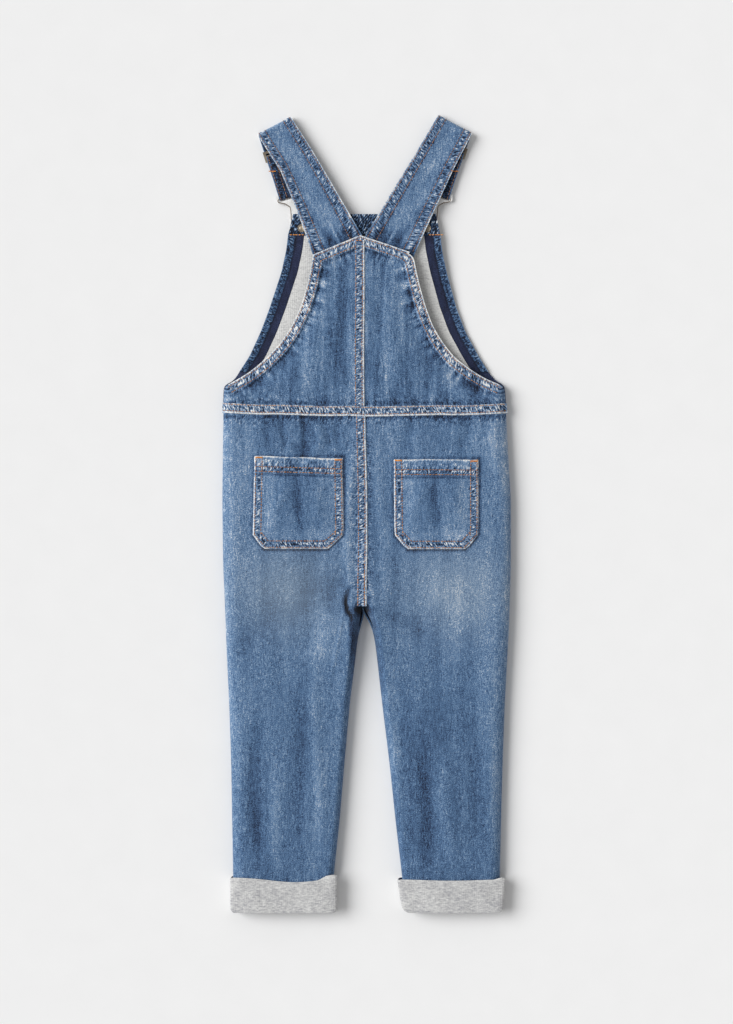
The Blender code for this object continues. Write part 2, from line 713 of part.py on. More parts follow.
def add_turned(name, material, profile, centre, level, steps=20):
    """A turned piece on an upright axis, from a profile of radius and height."""
    points = [(*centre, level + profile[0][1])]
    for radius, height in profile[1:-1]:
        for i in range(steps):
            angle = math.tau * i / steps
            x = centre[0] + radius * math.cos(angle)
            points.append((x, centre[1] + radius * math.sin(angle), level + height))
    points.append((*centre, level + profile[-1][1]))
    last = len(points) - 1
    rings = len(profile) - 2
    faces = []
    for i in range(steps):
        beside = (i + 1) % steps
        faces.append([0, 1 + beside, 1 + i])
        for ring in range(rings - 1):
            low, high = 1 + ring * steps, 1 + (ring + 1) * steps
            faces.append([low + i, low + beside, high + beside, high + i])
        top = 1 + (rings - 1) * steps
        faces.append([top + i, top + beside, last])
    add_mesh(name, material, points, faces, smooth=True)


def main():
    clear_scene()
    materials = make_materials()
    backs = add_trousers(materials)
    add_seat_fell(backs, materials)
    add_bodice(backs, materials)
    add_bib(materials)
    for side in ("left", "right"):
        add_turn_up(side, materials)
        add_strap(side, materials)
        add_hardware(side, materials)


main()
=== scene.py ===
import math

import bpy
import numpy as np
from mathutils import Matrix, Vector
from mathutils.bvhtree import BVHTree


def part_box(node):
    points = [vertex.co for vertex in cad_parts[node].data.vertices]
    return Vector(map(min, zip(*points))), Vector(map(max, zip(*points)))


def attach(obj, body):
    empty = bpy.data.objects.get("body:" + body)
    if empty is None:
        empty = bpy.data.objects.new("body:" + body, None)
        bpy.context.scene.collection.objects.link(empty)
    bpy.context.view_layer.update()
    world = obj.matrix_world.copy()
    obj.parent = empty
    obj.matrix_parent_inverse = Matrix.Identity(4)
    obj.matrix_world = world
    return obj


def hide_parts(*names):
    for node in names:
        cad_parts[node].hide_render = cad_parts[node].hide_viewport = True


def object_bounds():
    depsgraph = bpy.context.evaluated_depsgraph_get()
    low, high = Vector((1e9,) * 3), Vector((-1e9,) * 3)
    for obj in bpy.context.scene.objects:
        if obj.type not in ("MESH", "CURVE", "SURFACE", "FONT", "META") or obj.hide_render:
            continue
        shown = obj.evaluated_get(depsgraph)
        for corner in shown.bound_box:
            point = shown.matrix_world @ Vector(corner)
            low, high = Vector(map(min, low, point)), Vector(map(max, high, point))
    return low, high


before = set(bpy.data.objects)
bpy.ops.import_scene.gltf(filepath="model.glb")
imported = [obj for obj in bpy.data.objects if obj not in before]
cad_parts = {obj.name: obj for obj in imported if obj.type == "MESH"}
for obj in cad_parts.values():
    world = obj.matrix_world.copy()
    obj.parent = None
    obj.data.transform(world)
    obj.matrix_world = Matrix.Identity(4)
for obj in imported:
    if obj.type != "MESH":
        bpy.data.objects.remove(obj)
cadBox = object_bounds()
print("frame loaded")

# Working units are millimetres: x across, h up from the fold of the turn-ups, z up from the surface.
foldY = cadBox[0][1] * 1000


def toWorld(points):
    # metres in the frame's axes
    return (np.asarray(points, float) + (0, foldY, 0)) / 1000


def srgb(hexColour):
    # linear value of an sRGB hex colour
    parts = [int(hexColour[i:i + 2], 16) / 255 for i in (1, 3, 5)]
    return [p / 12.92 if p <= 0.04045 else ((p + 0.055) / 1.055) ** 2.4 for p in parts] + [1.0]


def nodeArrays(name):
    # points and edges of a solid, in working units
    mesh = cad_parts[name].data
    points = np.empty(len(mesh.vertices) * 3)
    mesh.vertices.foreach_get("co", points)
    edges = np.empty(len(mesh.edges) * 2, int)
    mesh.edges.foreach_get("vertices", edges)
    return points.reshape(-1, 3) * 1000 - (0, foldY, 0), edges.reshape(-1, 2)


def crossings(arrays, h):
    # where a node's edges cross the level h: x and z of each crossing
    points, edges = arrays
    a, b = points[edges[:, 0]], points[edges[:, 1]]
    hit = (a[:, 1] - h) * (b[:, 1] - h) < 0
    a, b = a[hit], b[hit]
    t = ((h - a[:, 1]) / (b[:, 1] - a[:, 1]))[:, None]
    return (a + (b - a) * t)[:, [0, 2]]


def blur(values, sigma):
    # Gaussian smoothing along the first axis, with straight-on ends
    if sigma <= 0:
        return values
    reach = int(3 * sigma) + 1
    kernel = np.exp(-0.5 * (np.arange(-reach, reach + 1) / sigma) ** 2)
    kernel /= kernel.sum()
    values = np.asarray(values, float)
    flat = values.reshape(len(values), -1)
    low = 2 * flat[:1] - flat[1:reach + 1][::-1]
    high = 2 * flat[-1:] - flat[-reach - 1:-1][::-1]
    padded = np.concatenate([low, flat, high])
    out = np.stack([np.convolve(padded[:, i], kernel, "valid") for i in range(flat.shape[1])], 1)
    return out.reshape(values.shape)


def softNoise(u, v, seed):
    # smooth random hills and hollows, -1 to 1, about one cell per unit
    table = np.random.RandomState(seed).uniform(-1, 1, (128, 128))
    u, v = np.broadcast_arrays(np.asarray(u, float), np.asarray(v, float))
    iu, iv = np.floor(u).astype(int), np.floor(v).astype(int)
    fu, fv = u - iu, v - iv
    fu, fv = fu * fu * (3 - 2 * fu), fv * fv * (3 - 2 * fv)

    def at(i, j):
        return table[i % 128, j % 128]

    low = at(iu, iv) * (1 - fu) + at(iu + 1, iv) * fu
    high = at(iu, iv + 1) * (1 - fu) + at(iu + 1, iv + 1) * fu
    return low * (1 - fv) + high * fv


def rubbed(run):
    # how pale a folded edge is worn along its run
    return 0.82 + 0.3 * softNoise(run / 3.1, 0.5, 17) + 0.2 * softNoise(run / 13, 0.5, 18)


def bump(distance, width):
    # a soft hill, 1 at its middle
    return np.exp(-(distance / width) ** 2)


def ramp(value, start, end):
    # a soft step, 0 to 1
    t = np.clip((value - start) / (end - start), 0, 1)
    return t * t * (3 - 2 * t)


def alongLine(x, h, line):
    # signed distance to the left of a line, and the run along it, for each point
    line = np.asarray(line, float)
    runs = np.concatenate([[0], np.cumsum(np.linalg.norm(np.diff(line, axis=0), axis=1))])
    best = np.full(x.shape, 1e9)
    run = np.zeros(x.shape)
    side = np.ones(x.shape)
    for i in range(len(line) - 1):
        step = line[i + 1] - line[i]
        length = np.hypot(*step)
        ux, uh = step / length
        dx, dh = x - line[i, 0], h - line[i, 1]
        t = np.clip(dx * ux + dh * uh, 0, length)
        away = np.hypot(dx - t * ux, dh - t * uh)
        closer = away < best
        best = np.where(closer, away, best)
        run = np.where(closer, runs[i] + t, run)
        side = np.where(closer, np.sign(ux * dh - uh * dx), side)
    return best * side, run


def foldField(x, h, folds):
    # each fold: from (x, h) to (x, h), width, height, deeper in the middle of its run
    total = np.zeros(x.shape)
    for x0, h0, x1, h1, width, height in folds:
        length = math.hypot(x1 - x0, h1 - h0)
        ux, uh = (x1 - x0) / length, (h1 - h0) / length
        t = ((x - x0) * ux + (h - h0) * uh) / length
        off = (x - x0) * uh - (h - h0) * ux
        off = off + width * 0.5 * np.sin(t * 5 + x0)
        fade = ramp(t, -0.12, 0.3) * (1 - ramp(t, 0.7, 1.12))
        total += height * bump(off, width) * fade
    return total


def ropes(run, across, seed, pitch=4.6, slant=0.55):
    # the twisted puckers along a washed seam
    lean = run + slant * across
    coarse = softNoise(lean / (pitch * 0.5), across / 9 + 7, seed)
    fine = softNoise(lean / (pitch * 0.3), across / 5 + 3, seed + 1)
    total = coarse + 0.45 * fine
    return np.sign(total) * np.abs(total) ** 0.7


def surfaceNormals(grid):
    # which way the cloth faces at each point
    normals = np.cross(np.gradient(grid, axis=1), np.gradient(grid, axis=0))
    return normals / np.maximum(np.linalg.norm(normals, axis=2, keepdims=True), 1e-9)


def gridFaces(rows, columns, start=0, flip=False):
    # four-sided faces over a grid of points
    r, c = np.meshgrid(np.arange(rows - 1), np.arange(columns - 1), indexing="ij")
    a = start + r * columns + c
    quads = np.stack([a, a + 1, a + columns + 1, a + columns], -1).reshape(-1, 4)
    return quads[:, ::-1] if flip else quads


def ringFaces(rings, around, loop=False):
    # faces between closed rings of points; loop joins the last ring to the first
    r, c = np.meshgrid(np.arange(rings if loop else rings - 1), np.arange(around), indexing="ij")
    after, beside = (r + 1) % rings, (c + 1) % around
    corners = [r * around + c, r * around + beside, after * around + beside, after * around + c]
    return np.stack(corners, -1).reshape(-1, 4)


def makeMesh(name, points, quads, attributes, materials, faceMaterial=None, sharp=38):
    # a linked object from arrays, with its point attributes and the material of each face
    points = np.maximum(points, (-1e6, -1e6, 0.0))  # nothing sinks into the surface it lies on
    mesh = bpy.data.meshes.new(name)
    mesh.vertices.add(len(points))
    mesh.vertices.foreach_set("co", toWorld(points).astype(np.float32).ravel())
    mesh.loops.add(len(quads) * 4)
    mesh.loops.foreach_set("vertex_index", quads.astype(np.int32).ravel())
    mesh.polygons.add(len(quads))
    mesh.polygons.foreach_set("loop_start", np.arange(0, len(quads) * 4, 4, dtype=np.int32))
    mesh.update(calc_edges=True)
    mesh.validate()
    for key, values in attributes.items():
        layer = mesh.attributes.new(key, "FLOAT", "POINT")
        layer.data.foreach_set("value", np.asarray(values, np.float32).ravel())
    for material in materials:
        mesh.materials.append(material)
    if faceMaterial is not None:
        mesh.polygons.foreach_set("material_index", faceMaterial.astype(np.int32))
    mesh.shade_smooth()
    mesh.set_sharp_from_angle(angle=math.radians(sharp))
    piece = bpy.data.objects.new(name, mesh)
    bpy.context.scene.collection.objects.link(piece)
    return piece


# the narrowest cut that is stated, and the least share of its rectangle that a cut fills
cuts = {"narrowest": 11.0, "leastShare": 0.31, "turnUpShare": 0.97}


def gridSize(grid):
    # width, length and area of the face, followed over its folds
    across = np.linalg.norm(np.diff(grid, axis=1), axis=2).sum(1).max()
    along = np.linalg.norm(np.diff(grid, axis=0), axis=2).sum(0).max()
    a = grid[1:, :-1] - grid[:-1, :-1]
    b = grid[:-1, 1:] - grid[:-1, :-1]
    area = np.linalg.norm(np.cross(a, b), axis=2).sum()
    return across, along, area


def declareCloth(piece, grid, nodes):
    # works out the size of its cut, which nothing keeps; hangs the cloth under the root and hides its solids
    across, along, area = gridSize(grid)
    width, length = (max(size, cuts["narrowest"]) / 1000 for size in (across, along))
    area = min(max(area / 1e6, cuts["leastShare"] * width * length), width * length)
    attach(piece, "root")
    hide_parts(*nodes)


def clothWall(name, grid, thickness, attributes, materials, backIndex=0, sharp=38):
    # a shell of cloth: its face is the grid, its back lies inside it
    rows, columns = grid.shape[:2]
    normals = surfaceNormals(grid)
    points = np.concatenate([grid.reshape(-1, 3), (grid - normals * thickness).reshape(-1, 3)])
    count = rows * columns
    ring = [(0, c) for c in range(columns)] + [(r, columns - 1) for r in range(1, rows)]
    ring += [(rows - 1, c) for c in range(columns - 2, -1, -1)] + [(r, 0) for r in range(rows - 2, 0, -1)]
    ring = np.array([r * columns + c for r, c in ring])
    following = np.roll(ring, -1)
    border = np.stack([ring + count, following + count, following, ring], -1)
    face = gridFaces(rows, columns)
    back = gridFaces(rows, columns, count, True)
    quads = np.concatenate([face, back, border])
    index = np.zeros(len(quads), int)
    index[len(face):len(face) + len(back)] = backIndex
    doubled = {k: np.concatenate([np.ravel(v), np.ravel(v)]) for k, v in attributes.items()}
    return makeMesh(name, points, quads, doubled, materials, index, sharp)


def treeOf(*objects):
    # the faces of some objects, to drop points on
    points, polygons = [], []
    for item in objects:
        mesh = item.data
        start = len(points)
        points += [v.co[:] for v in mesh.vertices]
        polygons += [[start + i for i in p.vertices] for p in mesh.polygons]
    return BVHTree.FromPolygons(points, polygons)


dropFrom = 0.2  # metres over the surface


def dropZ(tree, x, h):
    # height of what lies under each point
    out = np.empty(np.shape(x))
    for i in np.ndindex(out.shape):
        start = Vector((x[i] / 1000, (h[i] + foldY) / 1000, dropFrom))
        place = tree.ray_cast(start, Vector((0, 0, -1)))[0]
        out[i] = place.z * 1000 if place else np.nan
    return out


def node(tree, kind, settings=None, links=None, **inputs):
    # adds one node, with its settings, its links and its input values
    item = tree.nodes.new(kind)
    for key, value in (settings or {}).items():
        setattr(item, key, value)
    for key, value in inputs.items():
        item.inputs[key.replace("_", " ")].default_value = value
    for socket, source in (links or {}).items():
        tree.links.new(source, item.inputs[socket])
    return item


def setRamp(item, stops):
    colours = item.color_ramp
    colours.interpolation = "LINEAR"
    while len(colours.elements) > 1:
        colours.elements.remove(colours.elements[-1])
    colours.elements[0].position = stops[0][0]
    colours.elements[0].color = srgb(stops[0][1])
    for position, colour in stops[1:]:
        colours.elements.new(position).color = srgb(colour)


def colourFrom(tree, source, stops):
    # a colour picked from the stops by a value
    item = node(tree, "ShaderNodeValToRGB", links={"Fac": source})
    setRamp(item, stops)
    return item.outputs["Color"]


def newMaterial(name, **values):
    material = bpy.data.materials.new(name)
    material.use_nodes = True
    tree = material.node_tree
    shader = tree.nodes["Principled BSDF"]
    for key, value in values.items():
        shader.inputs[key.replace("_", " ")].default_value = value
    return material, tree, shader, node(tree, "ShaderNodeTexCoord").outputs["Object"]


def mathNode(tree, operation, *terms):
    # one step of arithmetic between sockets and numbers
    item = tree.nodes.new("ShaderNodeMath")
    item.operation = operation
    for socket, term in zip(item.inputs, terms):
        if isinstance(term, (int, float)):
            socket.default_value = term
        else:
            tree.links.new(term, socket)
    return item.outputs[0]


def noiseNode(tree, place, scale, detail, stretch=None, lean=0.0, **inputs):
    # a noise pattern; a stretch of scales, a unit each metre, draws it out along threads
    if stretch:
        turn = (0, 0, math.radians(lean))
        mapped = node(tree, "ShaderNodeMapping", links={"Vector": place}, Scale=stretch, Rotation=turn)
        place = mapped.outputs[0]
    item = node(tree, "ShaderNodeTexNoise", links={"Vector": place}, Scale=scale, Detail=detail, **inputs)
    return item.outputs["Fac"]


def addNoise(tree, total, parts):
    for source, amount in parts:
        total = mathNode(tree, "MULTIPLY_ADD", mathNode(tree, "SUBTRACT", source, 0.5), amount, total)
    return total


def pointValue(tree, name):
    return node(tree, "ShaderNodeAttribute", {"attribute_name": name}).outputs["Fac"]


def relief(tree, shader, height, strength, distance):
    item = node(tree, "ShaderNodeBump", links={"Height": height}, Strength=strength, Distance=distance)
    tree.links.new(item.outputs[0], shader.inputs["Normal"])


denim = {
    "dash": 4.6,  # contrast of the pale and dark dashes along washed seams
    "dashMiddle": 0.545,
    "dashPitch": 1.4,  # mm along the seam
    "dashWide": 3.4,
    "dashLean": 0.4,
    "faded": "#98A0A0",
}


def denimMaterial(name, stops, speckle, streak, mottle):
    # Stone-washed cotton denim, 3/1 right-hand twill: matt and dry, dark warp over a pale weft, so every
    # rubbed fold shows the weft. Cotton: IOR 1.5, roughness 0.8 to 0.9, a faint fibre sheen.
    material, tree, shader, place = newMaterial(
        name, Roughness=0.86, IOR=1.5, Specular_IOR_Level=0.25, Sheen_Weight=0.12, Sheen_Roughness=0.5)
    # real warp threads lie 0.45 mm apart; the slubs are drawn 1.1 mm wide, so that they show
    warp = noiseNode(tree, place, 1.0, 1.5, stretch=(900, 150, 300))
    weft = noiseNode(tree, place, 1.0, 1.0, stretch=(160, 820, 300))
    grain = noiseNode(tree, place, 1250.0, 1.0, Roughness=0.6)
    cloud = noiseNode(tree, place, 75.0, 3.0)
    broad = noiseNode(tree, place, 16.0, 2.0)
    # the point value carries the cloth's wear together with painted light and shade
    total = addNoise(tree, pointValue(tree, "wearAndShade"), (
        (warp, streak), (weft, streak * 0.3), (grain, speckle), (cloud, mottle), (broad, mottle * 0.7)))
    # washed seams: where the thread draws the cloth in, it rubs pale and dark in turn every 3 mm
    across = pointValue(tree, "across")
    lean = mathNode(tree, "MULTIPLY_ADD", across, denim["dashLean"], pointValue(tree, "run"))
    seamPlace = node(tree, "ShaderNodeCombineXYZ", links={
        "X": mathNode(tree, "DIVIDE", lean, denim["dashPitch"]),
        "Y": mathNode(tree, "DIVIDE", across, denim["dashWide"])})
    dashes = noiseNode(tree, seamPlace.outputs[0], 1.0, 0.6)
    dash = mathNode(tree, "SUBTRACT", dashes, denim["dashMiddle"])
    dash = mathNode(tree, "MULTIPLY", dash, pointValue(tree, "band"))
    total = mathNode(tree, "MULTIPLY_ADD", dash, denim["dash"], total)
    dyed = colourFrom(tree, mathNode(tree, "MULTIPLY_ADD", total, 0.5, 0.5), stops)
    greyed = node(tree, "ShaderNodeMixRGB", links={0: pointValue(tree, "fade"), 1: dyed})
    greyed.inputs[2].default_value = srgb(denim["faded"])
    tree.links.new(greyed.outputs[0], shader.inputs["Base Color"])
    # twill lines lean up to the right; 0.9 mm apart where the real ones are 0.6 mm
    turned = node(tree, "ShaderNodeMapping", links={"Vector": place}, Rotation=(0, 0, math.radians(63)))
    twill = node(tree, "ShaderNodeTexWave", {"wave_type": "BANDS"}, {"Vector": turned.outputs[0]},
                 Scale=175.0, Distortion=1.2, Detail=1.0, Detail_Scale=2.0)
    height = mathNode(tree, "MULTIPLY_ADD", twill.outputs["Fac"], 0.35, grain)
    height = mathNode(tree, "ADD", height, warp)
    height = mathNode(tree, "MULTIPLY_ADD", dash, 3.0, height)
    relief(tree, shader, height, 0.5, 0.0005)
    return material


def jerseyMaterial(name, stops):
    # Grey melange cotton jersey, knitted from mixed dark and pale fibres: soft, matt, with short leaning
    # flecks. Cotton: IOR 1.5, roughness 0.9.
    material, tree, shader, place = newMaterial(name, Roughness=0.92, Specular_IOR_Level=0.2, Sheen_Weight=0.2)
    # melange flecks are 4 to 9 mm long and lean across the wales
    fleck = noiseNode(tree, place, 1.0, 2.0, stretch=(240, 760, 300), lean=-27)
    grain = noiseNode(tree, place, 700.0, 1.0)
    cloud = noiseNode(tree, place, 90.0, 2.0)
    total = addNoise(tree, pointValue(tree, "wearAndShade"), ((fleck, 2.4), (grain, 1.2), (cloud, 0.5)))
    knitted = colourFrom(tree, mathNode(tree, "MULTIPLY_ADD", total, 0.5, 0.5), stops)
    tree.links.new(knitted, shader.inputs["Base Color"])
    # wales 0.7 mm apart, drawn 1.1 mm
    wales = node(tree, "ShaderNodeTexWave", {"wave_type": "BANDS"}, {"Vector": place}, Scale=145.0, Distortion=2.0)
    relief(tree, shader, mathNode(tree, "MULTIPLY_ADD", wales.outputs["Fac"], 0.5, grain), 0.35, 0.0004)
    return material


def threadMaterial(name, dark, light):
    # Polyester-cotton topstitching thread, three-ply: slightly glossy; its own fibres and the wash vary it.
    material, tree, shader, place = newMaterial(name, Roughness=0.6)
    dyed = colourFrom(tree, noiseNode(tree, place, 260.0, 1.0), [(0.38, dark), (0.62, light)])
    tree.links.new(dyed, shader.inputs["Base Color"])
    return material


def metalMaterial(name, dark, light, roughness):
    # Plated pressed steel, tumbled: bright with fine rubbed marks. Metal keeps the default IOR.
    material, tree, shader, place = newMaterial(name, Metallic=0.7)
    marks = noiseNode(tree, place, 140.0, 4.0)
    tree.links.new(colourFrom(tree, marks, [(0.3, dark), (0.7, light)]), shader.inputs["Base Color"])
    tree.links.new(mathNode(tree, "MULTIPLY_ADD", marks, 0.25, roughness), shader.inputs["Roughness"])
    return material


washedDenim = denimMaterial(
    "washedDenimTwill",
    [(0.0, "#0C1220"), (0.22, "#263B5B"), (0.5, "#4E6E93"), (0.68, "#728EAE"), (0.84, "#A4B3C5"),
     (1.0, "#EDECE8")],
    speckle=2.3, streak=1.0, mottle=0.22)
indigoTwill = denimMaterial(
    "unwashedIndigoTwill",
    [(0.0, "#0E1120"), (0.5, "#2A3352"), (0.8, "#56617F"), (1.0, "#A7AEBB")],
    speckle=2.0, streak=0.5, mottle=0.2)
melangeJersey = jerseyMaterial("melangeJersey", [(0.1, "#94949A"), (0.5, "#BDBDBD"), (0.9, "#DCDCDA")])
topstitchThread = threadMaterial("polyesterCottonThread", "#8C6349", "#C08E64")
fadedThread = threadMaterial("fadedPolyesterCottonThread", "#6A5049", "#A27A60")
bartackThread = threadMaterial("bartackThread", "#C87A34", "#EBA04A")
nickelPlate = metalMaterial("nickelPlatedSteel", "#F0EFEC", "#FFFFFF", 0.45)
# the buckle's rim bead is painted dark brown-grey: painted shade along the plate's edge
edgeShadeMetal = metalMaterial("nickelEdgePaintedShade", "#6E6259", "#A09387", 0.35)
antiqueBrass = metalMaterial("antiqueBrass", "#7A7063", "#A99D8B", 0.4)
denims = [washedDenim, indigoTwill, melangeJersey]
print("materials made")


pockets = {
    "wall": 1.1,
    "hem": 17.5,
    "left": [(363.6, -101.5, -38.3), (366.6, -105.5, -34.5), (377.5, -113.6, -23.3), (385, -113.4, -22.6),
             (438, -112.4, -23.5), (455.4, -112.1, -23.6)],
    "right": [(363.3, 41.7, 98.3), (366.4, 37.5, 102.8), (377.2, 28.3, 111.3), (385, 27.8, 112.0),
              (436, 27.3, 111.9), (453.2, 27.1, 112.1)],
    "slope": {"left": -2.4, "right": -0.6},  # how much lower the right end of the top edge lies
}

trousers = {
    "step": 1.7,  # spacing of the panel's points
    "wall": 1.2,
    "round": 13.0,  # how far in from the side seams the back rounds away
    "roundInner": 7.5,
    "frontRound": 7.0,
    "seamShare": 0.44,
    "crown": 0.9,  # how much the middle of each leg stands over its edges
    "frontStep": 3.2,
    "crotchReach": 3.2,  # how far the front's crotch shows between the legs
    "crotchSwell": 5.5,
}
# faded thighs, first the paler patch and then the greyer one: x, h, half width, half height, strength
thighFades = {
    "left": ((-78, 322, 52, 44, 0.16), (-80, 322, 46, 42, 0.24)),
    "right": ((92, 320, 50, 44, 0.25), (88, 322, 52, 42, 0.18)),
}


def patch(x, h, spot):
    # a soft patch on the cloth
    middleX, middleH, wide, tall, strength = spot
    return strength * bump(x - middleX, wide) * bump(h - middleH, tall)
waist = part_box("back_leg_left")[1][1] * 1000 - foldY
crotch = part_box("seat_fell")[0][1] * 1000 - foldY - 9.5
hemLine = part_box("back_leg_left")[0][1] * 1000 - foldY
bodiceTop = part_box("back_bodice_left")[1][1] * 1000 - foldY
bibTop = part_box("front_bib")[1][1] * 1000 - foldY
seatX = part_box("back_leg_left")[1][0] * 1000
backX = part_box("back_bodice_left")[1][0] * 1000

# soft folds: from (x, h) to (x, h), width, height
legFolds = {
    "left": [
        (-108, 40, -112, 190, 7, -0.9), (-88, 36, -92, 150, 8, 0.7), (-62, 45, -74, 230, 9, -0.8),
        (-46, 60, -50, 260, 6, 0.8), (-118, 250, -95, 330, 12, -0.7), (-60, 250, -28, 300, 12, 0.9),
        (-90, 290, -30, 330, 12, -0.7), (-70, 470, -66, 440, 6, -0.8), (-58, 497, -60, 455, 5, -0.8),
        (-50, 490, -46, 455, 5, 0.7), (-63.5, 497, -62.5, 450, 2.6, -1.3), (-40, 494, -38, 462, 4, -0.7),
        (-84, 498, -82, 460, 3, -0.9),
        (-30, 498, -27, 464, 3, -0.8), (-98, 496, -99, 466, 4, -0.6), (-126, 300, -127, 480, 8, 0.4),
        (-20, 300, -12, 480, 5, 1.2),
        (-38, 300, -22, 345, 7, -0.9),
    ],
    "right": [
        (60, 40, 56, 200, 8, -0.8), (80, 36, 84, 180, 9, 0.8), (104, 50, 106, 240, 9, -0.7),
        (124, 60, 126, 300, 7, 0.6), (30, 120, 20, 250, 6, 0.8), (114, 300, 56, 326, 18, 0.45),
        (60, 270, 20, 310, 10, -0.8), (45, 495, 42, 460, 6, -0.7), (100, 497, 98, 462, 6, -0.6),
        (16, 300, 14, 470, 6, 0.6), (130, 420, 131, 500, 7, 0.7),
    ],
}


def turned(grid, fields):
    # the same cloth facing the other way
    return grid[:, ::-1], {key: values[:, ::-1] for key, values in fields.items()}


def legEdges(name, heights):
    # least and greatest x and z of a leg's solid at each height
    arrays = nodeArrays(name)
    spans = []
    for h in heights:
        cross = crossings(arrays, min(max(h, hemLine + 0.01), waist - 0.05))
        spans.append((cross[:, 0].min(), cross[:, 0].max(), cross[:, 1].min(), cross[:, 1].max()))
    return np.array(spans)


def legGrid(side, face):
    # x, h and z over one leg's back or front, with the distances that place its wear and painted shade
    step = trousers["step"] if face == "back" else trousers["frontStep"]
    rows = int((waist - hemLine) / step)
    heights = np.linspace(hemLine, waist, rows)
    back = legEdges(f"back_leg_{side}", heights)
    front = legEdges(f"front_leg_{side}", heights)
    smooth = 6 / step
    low, high = blur(back[:, 0], smooth), blur(back[:, 1], smooth)
    level = blur(back[:, 3], 3 * smooth) if face == "back" else blur(front[:, 2], 2 * smooth)
    seam = trousers["seamShare"] * blur(back[:, 3], 3 * smooth)
    turned = 1 - ramp(heights, crotch - 2, crotch + 16)
    rounding = trousers["round"] if face == "back" else trousers["frontRound"]
    roundInner = trousers["roundInner"]
    angles = np.linspace(0, math.pi / 2, 12 if face == "back" else 6)
    flatCount = int(125 / step)
    if face == "front":  # the front's crotch shows a little between the legs
        reach = trousers["crotchReach"] * bump(heights - crotch + 8, 16)
        low, high = (low, high + reach) if side == "left" else (low - reach, high)
    a, b = (low, high) if side == "left" else (-high, -low)  # outer edge first
    away = rounding * (1 - np.cos(angles))
    lift = np.sin(angles) ** (0.9 if face == "back" else 1.0)
    outX = a[:, None] + away
    inX = b[:, None] - away[::-1] * roundInner / rounding
    share = np.linspace(0, 1, flatCount + 2)[1:-1]
    flatX = outX[:, -1:] + (inX[:, :1] - outX[:, -1:]) * share
    rise = (level - seam)[:, None]
    outZ = seam[:, None] + rise * lift
    inZ = level[:, None] - turned[:, None] * rise * (1 - lift[::-1])
    x = np.concatenate([outX, flatX, inX], 1)
    z = np.concatenate([outZ, np.broadcast_to(level[:, None], flatX.shape), inZ], 1)
    outer = x - a[:, None]
    inner = b[:, None] - x
    h = np.broadcast_to(heights[:, None], x.shape)
    if side == "right":
        x, z, h, outer, inner = (part[:, ::-1] for part in (-x, z, h, outer, inner))
    return np.array(np.stack([x, h, z], -1)), outer, inner


